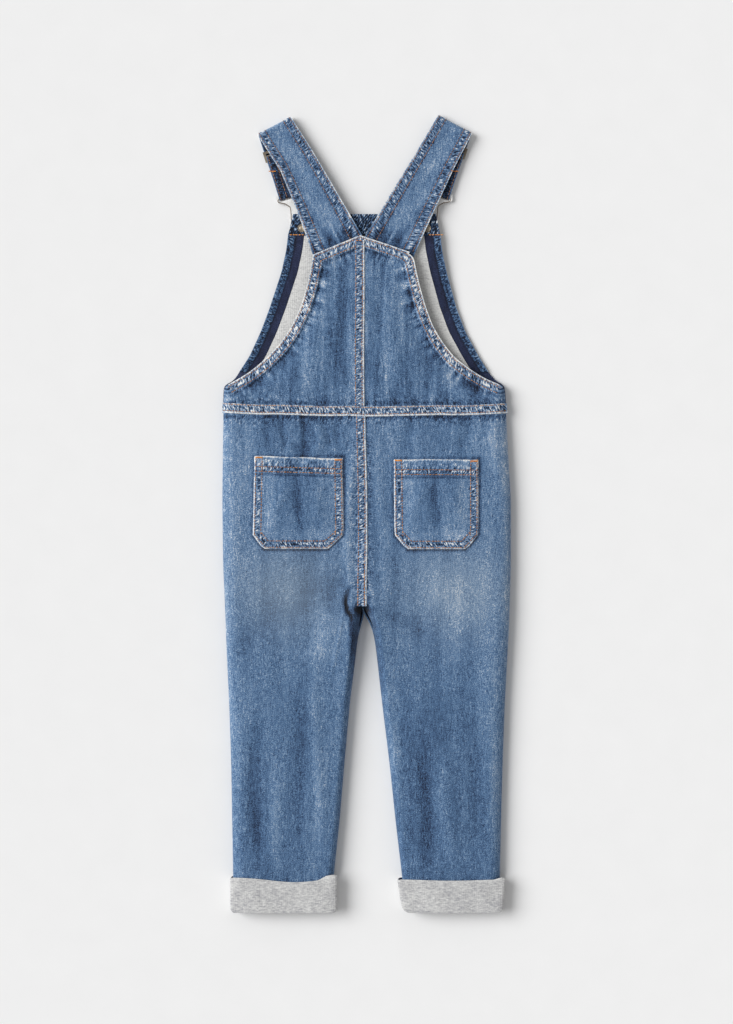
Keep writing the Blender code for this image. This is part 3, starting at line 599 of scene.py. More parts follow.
def legPiece(side, face):
    # one leg's back or front, with its folds, puckers, fades, painted light and shade, and the tuck beside the crotch
    grid, outer, inner = legGrid(side, face)
    x, h = grid[..., 0].copy(), grid[..., 1].copy()
    edge = np.minimum(outer, inner + 60 * ramp(h, crotch, crotch + 20))
    wearAndShade, run, across, band, fade = (np.zeros(x.shape) for _ in range(5))
    if face == "back":
        fold = foldField(x, h, legFolds[side])
        crown = trousers["crown"] * ramp(edge, 0, 45)
        ripple = 0.35 * softNoise(x / 17, h / 60, 11 if side == "left" else 12)
        free = ramp(edge, 0, 14) * (1 - 0.7 * ramp(h, waist - 14, waist - 2))
        lift = (fold + crown + ripple) * free
        # puckers that run down from the waist seam and out from the seat seam
        below = waist - 5 - h
        pull = 0.30 * bump(below, 14) * softNoise(x / 2.6, below / 22, 21)
        seatRun = np.abs(x - seatX)
        pullSeat = 0.22 * bump(seatRun - 6, 7) * softNoise(h / 2.6, seatRun / 9, 22) * ramp(h, crotch, crotch + 12)
        inside = 1 - ramp(h, 28, 50)  # the hem lies inside the turn-up
        grid[..., 2] += (lift + pull + pullSeat) * (1 - inside) - 1.0 * inside
        # the folds also tint the cloth: partly painted shade in their hollows and painted light on their crowns,
        # partly wash fade
        wearAndShade += 0.26 * fold + 0.12 * softNoise(x / 10, h / 90, 31) + 0.08 * softNoise(x / 4, h / 46, 32) - 0.03
        wearAndShade += 0.9 * pull + 0.9 * pullSeat
        # paler towards the outer side seam: full on the left leg, half on the right leg below its thigh
        outerPaling = 1 if side == "left" else 0.5 + 0.5 * ramp(h, 250, 330)
        wearAndShade += (0.14 * bump(outer, 13) + 0.10 * bump(outer, 34)) * outerPaling
        wearAndShade += (0.04 * bump(inner, 10) + 0.03 * bump(inner - 8, 16)) * (1 - ramp(h, crotch - 10, crotch + 20))
        paler, greyer = thighFades[side]
        wearAndShade += patch(x, h, paler)
        fade = patch(x, h, greyer)
        if side == "left":
            wearAndShade += 0.12 * bump(x + 15, 6.5) * ramp(h, 300, 350) * (1 - ramp(h, 480, 500))
            wearAndShade += 0.1 * bump(x + 55, 30) * bump(h - 100, 80)
        else:
            wearAndShade += 0.09 * bump(h - 478, 24)
            wearAndShade -= 0.10 * bump(x - 60, 40) * bump(h - 130, 110)
        wearAndShade -= 0.12 * (1 - ramp(h, 60, 250))
        # painted shadow under the folded edge of the waist seam
        wearAndShade -= 0.45 * bump(below - 2.2, 2.2)
        atWaist = below < 26
        run = np.where(atWaist, x, h)
        across = np.where(atWaist, below, seatRun)
        seatBand = 0.5 * bump(seatRun - 6, 5) * ramp(h, crotch + 4, crotch + 14)
        band = np.where(atWaist, 0.42 * bump(below - 3, 9), seatBand)
        # painted shadow under the free end of the seat seam, at the crotch
        wearAndShade -= 1.8 * bump(x + 5, 8) * bump(h - crotch + 4, 5)
        # painted shade on the inner edge where it rolls down into the gap between the legs
        crotchShade = bump(h - 270, 42) * (1 - ramp(h, crotch - 4, crotch + 8))
        wearAndShade -= (0.6 if side == "left" else 0.3) * bump(inner - 1, 6) * crotchShade
        swell = bump(x + 4, 34) * bump(h - 280, 54) * ramp(edge, 0.5, 7)
        grid[..., 2] += trousers["crotchSwell"] * swell
        if side == "left":
            tuck, _ = alongLine(x, h, [(-17, 326), (-20, 317), (-20.8, 309), (-18.8, 301), (-15, 296), (-15, 250)])
            deep = bump(h - 306, 15)
            grid[..., 2] -= 2.2 * bump(tuck, 1.8) * deep
            # painted shade in the tuck's crease and along it below
            wearAndShade -= 1.1 * bump(tuck, 1.5) * deep
            wearAndShade -= 0.5 * bump(tuck, 3.5) * ramp(h, 250, 275) * (1 - ramp(h, 320, 330))
            ridge = foldField(x, h, [(-19, 326, -37, 225, 1.2, 1.0)])
            grid[..., 2] += 0.7 * ridge
            wearAndShade += 0.16 * ridge
            # painted light on the flap beside the crease
            wearAndShade += 0.25 * bump(tuck - 4, 2.5) * deep
            wearAndShade += 0.2 * bump(x + 21 + 0.08 * (h - 300), 4) * (1 - ramp(h, 290, 300))
        else:
            tuck, _ = alongLine(x, h, [(3, 328), (6, 318), (5, 308)])
            # painted highlight along the right leg's crease and painted shadow beside the crotch
            wearAndShade += 0.3 * bump(tuck, 2.5) - 0.5 * bump(x - 1.5, 2.5) * bump(h - 312, 6)
        rows = np.array(pockets[side])
        fromLeft = x - np.interp(h, rows[:, 0], rows[:, 1])
        fromRight = np.interp(h, rows[:, 0], rows[:, 2]) - x
        inPocket = np.min([fromLeft, fromRight, h - rows[0, 0], rows[-1, 0] - h], axis=0)
        shaded = (fromRight < 8) | (h < rows[2, 0])  # the pocket's shadow lies right of it and under it
        # painted shadow round the pocket's edge, deeper on its shadow side
        wearAndShade -= 0.8 * bump(inPocket + 0.8, 1.5) * (0.45 + 0.55 * shaded)
    fields = {"wearAndShade": wearAndShade, "run": run, "across": across, "band": band, "fade": fade}
    if face == "front":
        grid, fields = turned(grid, fields)  # its right side faces down
    piece = clothWall(f"{face}Leg{side.title()}", grid, trousers["wall"], fields, denims, backIndex=1)
    declareCloth(piece, grid, [f"{face}_leg_{side}"])
    return piece


legs = {}
for side in ("left", "right"):
    legs[side] = legPiece(side, "back")
    legPiece(side, "front")
print("legs sewn")


def fillGaps(z):
    # missing heights take the nearest known one along their row, then along their column
    z = z.copy()
    for view in (z, z.T):
        for line in view:
            known = np.flatnonzero(~np.isnan(line))
            if 0 < len(known) < len(line):
                line[:] = np.interp(np.arange(len(line)), known, line[known])
    return z


def restOn(tree, x, h, soften=1.5):
    # smooth height of the cloth under a grid of points
    z = fillGaps(dropZ(tree, x, h))
    return blur(blur(z, soften).T, soften).T if soften else z


def cadTree(*names):
    # some solids, to drop points on
    return treeOf(*(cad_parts[name] for name in names))


bodice = {
    "step": 1.3,
    "wall": 1.2,
    "hem": 10.4,  # width of the turned hem round the armhole and along the top
    "hemRise": 0.8,
    "rows": (2.0, 8.5),  # stitch rows, in from the edge
}
bodiceFolds = {
    "left": [(-60, 520, -54, 640, 9, 0.8), (-30, 515, -26, 640, 8, -0.7), (-90, 510, -80, 560, 9, -0.7),
             (-44, 600, -34, 668, 5, 0.6), (-14, 520, -13, 640, 4, 0.5), (-120, 506, -110, 530, 7, 0.6)],
    "right": [(60, 515, 46, 630, 9, -0.8), (30, 520, 28, 650, 8, 0.7), (92, 508, 84, 560, 9, 0.7),
              (14, 560, 12, 664, 5, -0.5), (112, 506, 104, 530, 7, -0.6), (40, 610, 36, 655, 5, 0.5)],
}


def smoothLine(points, step):
    # evenly spaced points on a soft curve through the given ones
    points = np.asarray(points, float)
    runs = np.concatenate([[0], np.cumsum(np.linalg.norm(np.diff(points, axis=0), axis=1))])
    even = np.linspace(0, runs[-1], max(int(runs[-1] / step), 2) + 1)
    return np.stack([np.interp(even, runs, points[:, i]) for i in range(points.shape[1])], 1)


def bodicePiece(side):
    # half of the back bodice, with its turned hem along the armhole and the top
    sign = -1 if side == "left" else 1
    arrays = [nodeArrays(f"back_bodice_{side}"), nodeArrays(f"armhole_hem_{side}")]
    topOuter, topInner = bodice[side]
    seam = backX
    heights = np.arange(waist, topInner[1], bodice["step"])
    edge = []
    for h in heights:
        if h <= topOuter[1]:
            found = np.concatenate([crossings(a, max(h, waist + 0.4))[:, 0] for a in arrays])
            edge.append(found.min() if side == "left" else found.max())
        else:
            share = (h - topOuter[1]) / (topInner[1] - topOuter[1])
            edge.append(topOuter[0] + (topInner[0] - topOuter[0]) * share)
    edge = np.array(edge)
    low = heights <= topOuter[1]
    edge[low] = blur(edge[low], 2.2)
    outline = np.stack([edge, heights], 1)
    outline = np.concatenate([outline, [[seam, topInner[1]]]])
    columns = 112
    share = np.linspace(0, 1, columns) ** 1.12
    x = edge[:, None] + (seam - edge)[:, None] * share
    h = np.broadcast_to(heights[:, None], x.shape)
    tree = cadTree(f"back_bodice_{side}", f"armhole_hem_{side}", "back_top_hem")
    inset = 0.6 * (1 - share) ** 8
    z = restOn(tree, x - sign * inset, h, 1.6)
    away, run = alongLine(x, h, outline[heights.searchsorted(527):])
    away = np.abs(away)
    level = z + 0.9 * ramp(away, 2, 60)
    fold = foldField(x, h, bodiceFolds[side])
    above = h - waist - 5
    hemmed = 1 - ramp(away, bodice["hem"] - 0.8, bodice["hem"] + 0.5)
    pull = ropes(run, away, 41)
    inHem = bump(away - 5, 4.5)
    beyond = np.where(away > bodice["hem"], bump(away - bodice["hem"], 6), 0)
    dents = sum(bump(away - row, 0.8) for row in bodice["rows"])
    gather = softNoise(x / 2.8, above / 18, 43) * bump(above, 13)
    lift = 0.9 * fold * ramp(away, 8, 22) * (0.3 + 0.7 * ramp(above, 0, 25))
    lift = lift + bodice["hemRise"] * hemmed + 0.34 * pull * inHem + 0.25 * pull * beyond - 0.25 * dents
    lift = lift + 0.24 * gather + 0.25 * softNoise(x / 14, h / 40, 44) * ramp(away, 8, 20)
    grid = np.stack([x, h, level + lift], -1)
    # the folds also tint the cloth: partly painted shade in their hollows and painted light on their crowns, partly
    # wash fade
    wearAndShade = 0.26 * fold - 0.06 + 0.12 * softNoise(x / 9, h / 60, 45) + 0.2 * softNoise(x / 4, h / 34, 46)
    wearAndShade = wearAndShade + 0.14 * softNoise(x / 1.9, h / 24, 47)
    wearAndShade = wearAndShade + 0.15 * pull * inHem - 0.25 * dents
    wearAndShade = wearAndShade + rubbed(run) * bump(away, 1.2) + 0.46 * hemmed + 0.2 * gather
    atWaist = above < away
    fields = {
        "run": np.where(atWaist, x, run),
        "across": np.where(atWaist, above, away),
        "band": np.where(atWaist, 0.4 * bump(above, 9), 1.3 * inHem + 0.35 * beyond),
    }
    wearAndShade = wearAndShade + 0.5 * softNoise(run / 2.2, away / 14, 48) * bump(away - bodice["hem"] - 3, 9)
    # painted shadow just beyond the hem's edge; the second term darkens the bodice just above the waist seam
    wearAndShade = wearAndShade - 0.32 * bump(away - bodice["hem"] - 1.2, 1.3) - 0.28 * bump(above - 1.5, 2.5)
    wearAndShade = wearAndShade + 0.08 * bump(np.abs(x - backX) - 12, 12)
    fields["wearAndShade"] = wearAndShade
    if side == "right":
        grid, fields = turned(grid, fields)
    piece = clothWall(f"bodice{side.title()}", grid, bodice["wall"], fields, denims, backIndex=1)
    hems = ["back_top_hem"] if side == "right" else []
    declareCloth(piece, grid, [f"back_bodice_{side}", f"armhole_hem_{side}"] + hems)
    return piece, outline


bodice["left"] = ((-53.6, 657.5), (-6.8, 676.8))
bodice["right"] = ((46.8, 659.0), (-6.8, 677.2))
backs = {side: bodicePiece(side) for side in ("left", "right")}
print("bodice sewn")


fells = {"half": 5.2, "rise": 1.1, "wall": 0.9, "rows": (-4.0, 2.6), "step": 0.9}


def fellPiece(name, line, nodes, tree, ridge, seed, rise=1.0):
    # a felled seam: a strip whose folded edge stands up on its ridge side, +1 left or -1 right of its run
    line = smoothLine(line, fells["step"])
    tangent = np.gradient(line, axis=0)
    tangent /= np.linalg.norm(tangent, axis=1, keepdims=True)
    left = np.stack([-tangent[:, 1], tangent[:, 0]], 1)
    across = np.linspace(-1, 1, 19)
    half = fells["half"]
    offsets = across * half
    run = np.arange(len(line))[:, None] * fells["step"]
    x = line[:, None, 0] + left[:, None, 0] * offsets
    h = line[:, None, 1] + left[:, None, 1] * offsets
    z = restOn(tree, x, h, 0.8)
    if name == "seatFell":
        solid = int(np.argmax(line[:, 1] > crotch + 17))
        z[:solid] = z[solid] - 0.8 * np.linspace(1, 0, solid)[:, None]  # its free end bridges the crotch
    toRidge = half - ridge * offsets  # 0 at the folded edge
    side = np.minimum(toRidge, 2 * half - toRidge)
    pull = ropes(run, offsets[None, :] * np.ones_like(run), seed)
    profile = fells["rise"] * rise * (1 - (1 - np.clip(side / 1.4, 0, 1)) ** 2) ** 0.5
    profile = profile + 0.35 * bump(toRidge - 1.1, 1.0)
    dents = sum(bump(offsets - ridge * row, 0.7) for row in fells["rows"])
    grid = np.stack([x, h, z - 0.25 + profile + 0.36 * pull * bump(offsets / half, 0.75) - 0.2 * dents], -1)
    wearAndShade = 0.12 * pull * bump(offsets / half, 0.8) - 0.2 * dents + 0.26
    wearAndShade = wearAndShade + 0.95 * rubbed(run) * bump(toRidge - 0.9, 1.0)
    # painted shadow at the foot of the folded edge
    wearAndShade = wearAndShade - 0.6 * bump(toRidge, 0.35)
    if name == "waistFell":
        wearAndShade = wearAndShade + 0.1 + 0.6 * rubbed(run + 40) * bump(2 * half - toRidge - 0.9, 0.9)
    band = (1.25 if name == "waistFell" else 1.0) * bump(toRidge - 6, 4.6)
    fields = {"wearAndShade": wearAndShade, "run": run + 0 * wearAndShade, "across": offsets + 0 * wearAndShade, "band": band + 0 * wearAndShade}
    if surfaceNormals(grid)[..., 2].mean() < 0:
        grid, fields = turned(grid, fields)
    piece = clothWall(name, grid, fells["wall"], fields, denims)
    declareCloth(piece, grid, nodes)
    return piece, line, left


lowerTree = treeOf(legs["left"], legs["right"])
upperTree = treeOf(backs["left"][0], backs["right"][0])
bothTree = treeOf(legs["left"], legs["right"], backs["left"][0], backs["right"][0])
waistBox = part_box("waist_fell")
seatLine = [(-4.6, crotch - 0.4), (-4.6, 330), (-3.9, 370), (-4.1, 420), (-5.4, 470), (-5.8, waist - 4)]
backLine = [(-6.8, waist + 4), (-7.2, 560), (-6.6, 620), (-6.8, bodiceTop - 3)]
waistX = np.linspace(waistBox[0][0] * 1000 + 0.5, waistBox[1][0] * 1000 - 0.5, 60)
waistSag = 3.2 * (1 - (waistX / 141) ** 2)
waistLine = np.stack([waistX, waist + 1.4 - waistSag + 0.5 * softNoise(waistX / 18, 0, 5)], 1)
seatFell = fellPiece("seatFell", seatLine, ["seat_fell"], lowerTree, -1, 51)
backFell = fellPiece("centreBackFell", backLine, ["centre_back_fell"], upperTree, -1, 53)
waistFell = fellPiece("waistFell", waistLine, ["waist_fell"], bothTree, -1, 55, rise=1.25)
print("seams felled")


def pocketPiece(side):
    # a patch pocket: clipped lower corners, a deep hem at the top, a soft crease down its middle
    rows = np.array(pockets[side])
    bottom = np.linspace(rows[0, 0], rows[1, 0], 5)[:-1]
    heights = np.concatenate([bottom, np.arange(rows[1, 0], rows[-1, 0], 1.1), [rows[-1, 0]]])
    low = np.interp(heights, rows[:, 0], rows[:, 1])
    high = np.interp(heights, rows[:, 0], rows[:, 2])
    share = np.linspace(0, 1, 84)
    share = share - 0.06 * np.sin(2 * math.pi * share) / (2 * math.pi)
    x = low[:, None] + (high - low)[:, None] * share
    slope = pockets["slope"][side] * (share - 0.5) * ramp(heights, rows[1, 0], rows[-2, 0])[:, None]
    wave = 0.5 * softNoise(x / 20, 0, 61) * ramp(heights, rows[-2, 0] - 20, rows[-1, 0])[:, None]
    h = heights[:, None] + slope + wave
    base = restOn(lowerTree, x, h, 1.2)
    outline = np.stack([np.concatenate([x[::-1, 0], x[0, 1:], x[1:, -1]]),
                        np.concatenate([h[::-1, 0], h[0, 1:], h[1:, -1]])], 1)
    away, run = alongLine(x, h, outline)
    away = np.abs(away)
    below = h[-1:, :] - h
    edge = np.minimum(away, below)
    pull = ropes(run, away, 63 if side == "left" else 65, slant=0.3)
    topPull = ropes(x, below, 67 if side == "left" else 69, pitch=6.5, slant=0.2)
    sides = bump(away - 5, 4.2)
    hem = 1 - ramp(below, pockets["hem"] - 1.2, pockets["hem"] + 0.2)
    belly = 1.5 * ramp(away, 4, 30) * ramp(below, -2, 30)
    middle = 0.5 * (x[:, :1] + x[:, -1:])
    crease = bump(x - middle - 2.0 * np.sin(h / 14), 5.5) * bump(h - 408, 28)
    fold = -0.8 * crease
    fold = fold + 0.6 * foldField(x, h, [(middle.mean() - 26, 380, middle.mean() - 14, 432, 5, 1.0),
                                         (middle.mean() + 30, 385, middle.mean() + 14, 425, 6, 0.9)])
    rim = (1 - (1 - np.clip(edge / 1.5, 0, 1)) ** 2) ** 0.5
    atBottom = bump(h - heights[0] - 5, 5)
    dents = bump(away - 1.7, 0.6) + bump(away - 8.0, 0.7) * (1 - hem)
    topDents = bump(below - 10.6, 0.7) + bump(below - 15.4, 0.7)
    z = base - 0.2 + 1.5 * rim + 0.45 * hem * ramp(edge, 0, 2) + belly + fold
    z = z + 0.34 * pull * sides * (1 - hem) + 0.38 * topPull * bump(below - 8, 8) - 0.2 * dents - 0.22 * topDents
    grid = np.stack([x, h, z], -1)
    wearAndShade = 0.08 * fold + 0.1 * softNoise(x / 8, h / 26, 71) + 0.07 * softNoise(x / 3, h / 20, 72)
    wearAndShade = wearAndShade + 0.12 * pull * sides * (1 - hem) + 0.25 * topPull * bump(below - 6, 6)
    wearAndShade = wearAndShade + 1.2 * rubbed(run) * bump(away, 1.35) + 1.2 * rubbed(x) * bump(below, 1.35)
    # painted shade in the hollow of the middle crease
    wearAndShade = wearAndShade - 0.2 * dents * sides - 0.2 * topDents - 0.42 * crease
    # painted shadow under the lower edge of the top hem
    wearAndShade = wearAndShade - 0.5 * bump(below - pockets["hem"] - 0.8, 1.0) + 0.14 * bump(away - 14, 8)
    wearAndShade = wearAndShade + 0.16 * bump(h - heights[0] - 14, 5) * bump(x - middle - 20, 14)
    wearAndShade = wearAndShade + 0.02 + 0.14 * bump(edge - 5, 5)
    inHem = below < pockets["hem"]
    fields = {
        "wearAndShade": wearAndShade,
        "run": np.where(inHem, x, run + 300),
        "across": np.where(inHem, below, away),
        "band": np.where(inHem, 0.95 * bump(below - 12.6, 4.5) + 0.4 * bump(below - 4, 5),
                         (0.95 + 0.3 * atBottom) * bump(away - 5, 3.8)),
    }
    piece = clothWall(f"pocket{side.title()}", grid, pockets["wall"], fields, denims)
    declareCloth(piece, grid, [f"pocket_{side}"])
    return piece, outline


patches = {side: pocketPiece(side) for side in ("left", "right")}
print("pockets sewn")


turnUps = {
    "around": 190,
    "left": {"height": 35.5, "fold": (-136.3, -29.3), "top": (-136.5, -29.2), "level": 18.0, "lift": -29.2},
    "right": {"height": 33.8, "fold": (136.6, 34.6), "top": (139.0, 30.8), "level": 18.0, "lift": 30.8},
    "wall": 1.5,
}


def turnUpPiece(side):
    # a flattened ring of cloth folded up round the hem, jersey outwards
    spec = turnUps[side]
    count = turnUps["around"]
    high = spec["height"]
    wall = turnUps["wall"]
    # profile from the inner edge down, round the fold and up the outside: run share, level h, inward offset
    profile = [(h, wall + 0.7) for h in np.linspace(8, 2.2, 4)]
    profile += [(1.0, wall + 0.35), (0.25, wall * 0.75), (0.0, wall * 0.4), (0.35, 0.1)]
    profile += [(h, 0.0) for h in np.linspace(1.6, high - 0.5, 24)]
    profile += [(high, 0.3), (high + 0.05, wall * 0.7), (high - 0.4, wall)]
    profile += [(h, wall) for h in np.linspace(high - 2.5, 10, 6)]
    profile = np.array(profile)
    t = np.linspace(0, 2 * math.pi, count, endpoint=False)
    # flattened ring: a superellipse, denser at its ends
    power = 0.24
    cx, cz = np.cos(t), np.sin(t)
    rx = np.sign(cx) * np.abs(cx) ** 0.62
    rz = np.sign(cz) * np.abs(cz) ** power
    a = np.interp(profile[:, 0], (0, high), (spec["fold"][0], spec["top"][0]))
    b = np.interp(profile[:, 0], (0, high), (spec["fold"][1], spec["top"][1]))
    centre, halfWide = (a + b) / 2, np.abs(b - a) / 2
    halfHigh = spec["level"] / 2
    off = profile[:, 1]
    x = centre[:, None] + (halfWide - off)[:, None] * rx
    z = halfHigh + (halfHigh - off)[:, None] * rz
    h = np.broadcast_to(profile[:, 0][:, None], x.shape).copy()
    top = z > halfHigh
    outside = (off < wall * 0.3)[:, None]
    share = profile[:, 0][:, None] / high
    rumple = 0.5 * softNoise(x / 22, h / 20, 81) + 0.25 * softNoise(x / 7, h / 12, 82)
    z = z + np.where(top, rumple - 0.4, 0)
    # the upper edge sags between the sides; one corner stands free
    middle = bump((x - centre[:, None]) / halfWide[:, None], 0.75)
    if side == "left":
        h = h - np.where(top, 4.6 * share * bump((x + 72) / 34, 1.0), 0)
        h = h + np.where(top, 0.6 * share * bump(x + 30, 12), 0)
    else:
        h = h - np.where(top, 1.4 * share * middle, 0)
    corner = bump(x - spec["lift"], 9)
    z = z + np.where(top, 1.2 * corner * share, 0)
    if side == "left":
        h = h + np.where(top, 3.4 * share * ramp(x, -50, -38), 0)
    else:
        h = h + np.where(top, 2.0 * share * ramp(x, 126, 136), 0)
    toEnd = np.clip((np.abs(x - centre[:, None]) / halfWide[:, None] - 0.92) / 0.08, 0, 1)
    h = h + (3.6 * (1 - share) ** 3 - 1.6 * share ** 6) * toEnd ** 2
    if side == "right":
        # its lower corner beside the other leg is strongly rounded
        h = h + 5.0 * (1 - share) * np.clip((x - 34 - 10) / -10, 0, 1) ** 2
    points = np.stack([x, h, z], -1)
    rows = len(profile)
    wearAndShade = 0.16 * softNoise(x / 12, h / 9, 83) + 0 * x
    wearAndShade = wearAndShade + np.where(outside, 0.35 * bump(h - high, 1.6) - 0.12 * bump(h - 1, 2.5), 0)
    flat = points.reshape(-1, 3)
    quads = ringFaces(rows, count)[:, ::-1]
    inside = 8  # rows from the upper edge down, wrong side out
    slot = np.where(np.arange(len(quads)) // count >= rows - inside, 1, 0)
    piece = makeMesh(f"turnUp{side.title()}", flat, quads, {"wearAndShade": wearAndShade}, [melangeJersey, indigoTwill], slot)
    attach(piece, "root")
    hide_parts(f"turn_up_{side}")


for side in ("left", "right"):
    turnUpPiece(side)
print("turn-ups folded")


bib = {"step": 1.6, "facingEdge": 7.6}


def coverPiece(name, nodes, columns, wearAndShadeOf, materials, wall=1.0, backIndex=0, darkAt=None):
    # a thin piece over the top of its solid, between its own ends
    arrays = [nodeArrays(n) for n in nodes]
    low = max(a[0][:, 1].min() for a in arrays)
    high = max(a[0][:, 1].max() for a in arrays)
    heights = np.arange(low + 0.05, high - 0.05, bib["step"])
    heights = np.append(heights, high - 0.05)
    spans = []
    for h in heights:
        cross = np.concatenate([crossings(a, h)[:, 0] for a in arrays])
        spans.append((cross.min(), cross.max()))
    spans = np.array(spans)
    if len(heights) > 20:
        spans = blur(spans, 1.5)
    x = spans[:, :1] + (spans[:, 1:] - spans[:, :1]) * np.linspace(0, 1, columns)
    h = np.broadcast_to(heights[:, None], x.shape)
    inset = 0.4 * np.sign(x.mean(1, keepdims=True) - x)
    z = restOn(cadTree(*nodes), x + inset, h, 0.8)
    rise, wearAndShade = wearAndShadeOf(x, h, x - spans[:, :1], spans[:, 1:] - x)
    grid = np.stack([x, h, z + rise], -1)
    out = np.minimum(x - spans[:, :1], spans[:, 1:] - x)
    fields = {"wearAndShade": wearAndShade, "run": h + 0 * x, "across": out, "band": 0 * x}
    if name.startswith("facing"):
        out = x - spans[:, :1] if name.endswith("Left") else spans[:, 1:] - x
        fields.update(across=out, band=0.8 * bump(out - 3.5, 3.4))
    if name == "bibHem":
        fields.update(run=x, across=bibTop - h, band=1.5 + 0 * x)
    piece = clothWall(name, grid, wall, fields, materials, backIndex)
    if darkAt:
        middles = 0.5 * (x[1:, 1:] + x[:-1, :-1])
        dark = darkAt(middles - spans[:-1, :1], spans[:-1, 1:] - middles)
        index = np.zeros(len(piece.data.polygons), np.int32)
        index[:dark.size] = dark.ravel()
        index[dark.size:2 * dark.size] = 1
        piece.data.polygons.foreach_set("material_index", index)
    declareCloth(piece, grid, nodes)
    return piece


def plainInside(x, h, fromLeft, fromRight):
    # rise and colour value, wear with painted shade, of each bib piece, over its solid
    return 0 * x, 0.2 * softNoise(x / 9, h / 30, 91)


def jerseyInside(x, h, fromLeft, fromRight):
    waves = softNoise(x / 16, h / 34, 92)
    return 0.25 * waves, 0.62 + 0.12 * softNoise(x / 10, h / 12, 93)


def facingInside(side):
    def fields(x, h, fromLeft, fromRight):
        out = fromLeft if side == "left" else fromRight
        pull = ropes(h, out, 95, slant=0.3) * np.ones(x.shape)
        edge = bump(out - 4, 4)
        rise = 0.3 * pull * edge + 0.4 * (1 - ramp(out, 6.5, 7.6)) - 0.2 * bump(out - 6.2, 0.7)
        washed = 1 - ramp(out, 7.0, 8.0)
        # both parts of the facing are darkened by about 0.35: painted shade
        wearAndShade = washed * (-0.35 + 0.15 * pull) + 0.5 * bump(out, 0.9) - 0.5 * bump(out - 7.9, 0.9)
        return rise, wearAndShade - (1 - washed) * (0.35 - 0.2 * softNoise(x / 4, h / 9, 96))
    return fields


def hemInside(x, h, fromLeft, fromRight):
    below = bibTop - h
    pull = ropes(x, below, 97, pitch=5.5, slant=0.1)
    rise = 0.35 * pull + 0.4 * bump(below, 1.4)
    # the whole hem is darkened by 0.42: painted shade
    return rise, -0.42 + 0.15 * pull + 0.5 * bump(below, 1.0) + 0.5 * bump(np.minimum(fromLeft, fromRight), 1.0)


coverPiece("bibFront", ["front_bib"], 90, plainInside, [indigoTwill, washedDenim], backIndex=1)
for side in ("left", "right"):
    edge = bib["facingEdge"]
    coverPiece(
        f"facing{side.title()}", [f"armhole_facing_{side}"], 16, facingInside(side), [washedDenim, indigoTwill],
        0.7,
        darkAt=(lambda fromLeft, _: fromLeft > edge) if side == "left" else (lambda _, fromRight: fromRight > edge))
lining = coverPiece("bibLining", ["bib_lining"], 70, jerseyInside, [melangeJersey], 0.7)
bibHem = coverPiece("bibHem", ["bib_top_hem"], 90, hemInside, [washedDenim], 0.7)
print("bib lined and faced")


straps = {
    "width": 35.0,
    "wall": 2.0,
    "rows": (1.7, 8.0),
    # edges of the upper run, then the shoulder's crease: outer x, h, inner x, h, height
    "left": [(-49.5, 651.5, -4.6, 669.5, 11.3), (-53.5, 657.5, -4.6, 677.5, 11.3),
             (-70.5, 704.5, -33.5, 727.3, 9.8), (-86.4, 742.5, -54.6, 763.0, 8.2)],
    "right": [(46.0, 652.5, -1.3, 668.5, 11.3), (48.5, 659.5, -1.3, 676.5, 11.3),
              (69.0, 704.5, 29.4, 727.8, 9.8), (86.6, 742.5, 51.0, 762.8, 8.2)],
    "fold": {"left": (-109.6, 779.6, -76.0, 797.2), "right": (106.2, 780.5, 72.2, 799.0)},
    # the lower run: its outer corner at the buckle, its lean in degrees, and the slider's height
    "lower": {"left": (-87.0, 712.5, 17.0, 758.5), "right": (82.5, 713.5, 18.2, 762.5)},
    "rise": 7.0,
    "barTurn": 3.8,
    "tack": {"left": (-94.5, 742.0), "right": (88.5, 742.0)},
}


def strapPath(side):
    # both edges of the strap, from the back over the shoulder and round the buckle's bar to the slider
    sign = 1 if side == "left" else -1
    low = straps["wall"] / 2
    rows = [[(a, b, z), (c, d, z)] for a, b, c, d, z in straps[side]]
    ax, ah, bx, bh = straps["fold"][side]
    outer, inner = np.array([ax, ah]), np.array([bx, bh])
    along = (inner - outer) / np.linalg.norm(inner - outer)
    away = np.array([-along[1], along[0]]) * sign

    def turn(a, b, direction, start, end):
        radius = abs(end - start) / 2
        for angle in np.linspace(math.pi / 2, -math.pi / 2, 13):
            back = radius * math.cos(angle) - radius - low
            z = (start + end + (start - end) * math.sin(angle)) / 2
            rows.append([(*(p + direction * back), z) for p in (a, b)])

    turn(outer, inner, away, low + straps["rise"], low)
    x, h, lean, slider = straps["lower"][side]
    lean = math.radians(lean)
    down = np.array([sign * math.sin(lean), -math.cos(lean)])
    across = np.array([sign * math.cos(lean), math.sin(lean)])
    endOuter = np.array([x, h])
    endInner = endOuter + across * straps["width"]
    rows.append([(*(endOuter - down * 20), low), (*(endInner - down * 20), low)])
    turn(endOuter, endInner, down, low, low + straps["barTurn"])
    back = down * (slider - h)
    high = low + straps["barTurn"]
    rows.append([(*(endOuter - back), high), (*(endInner - back), high)])
    return np.array(rows)


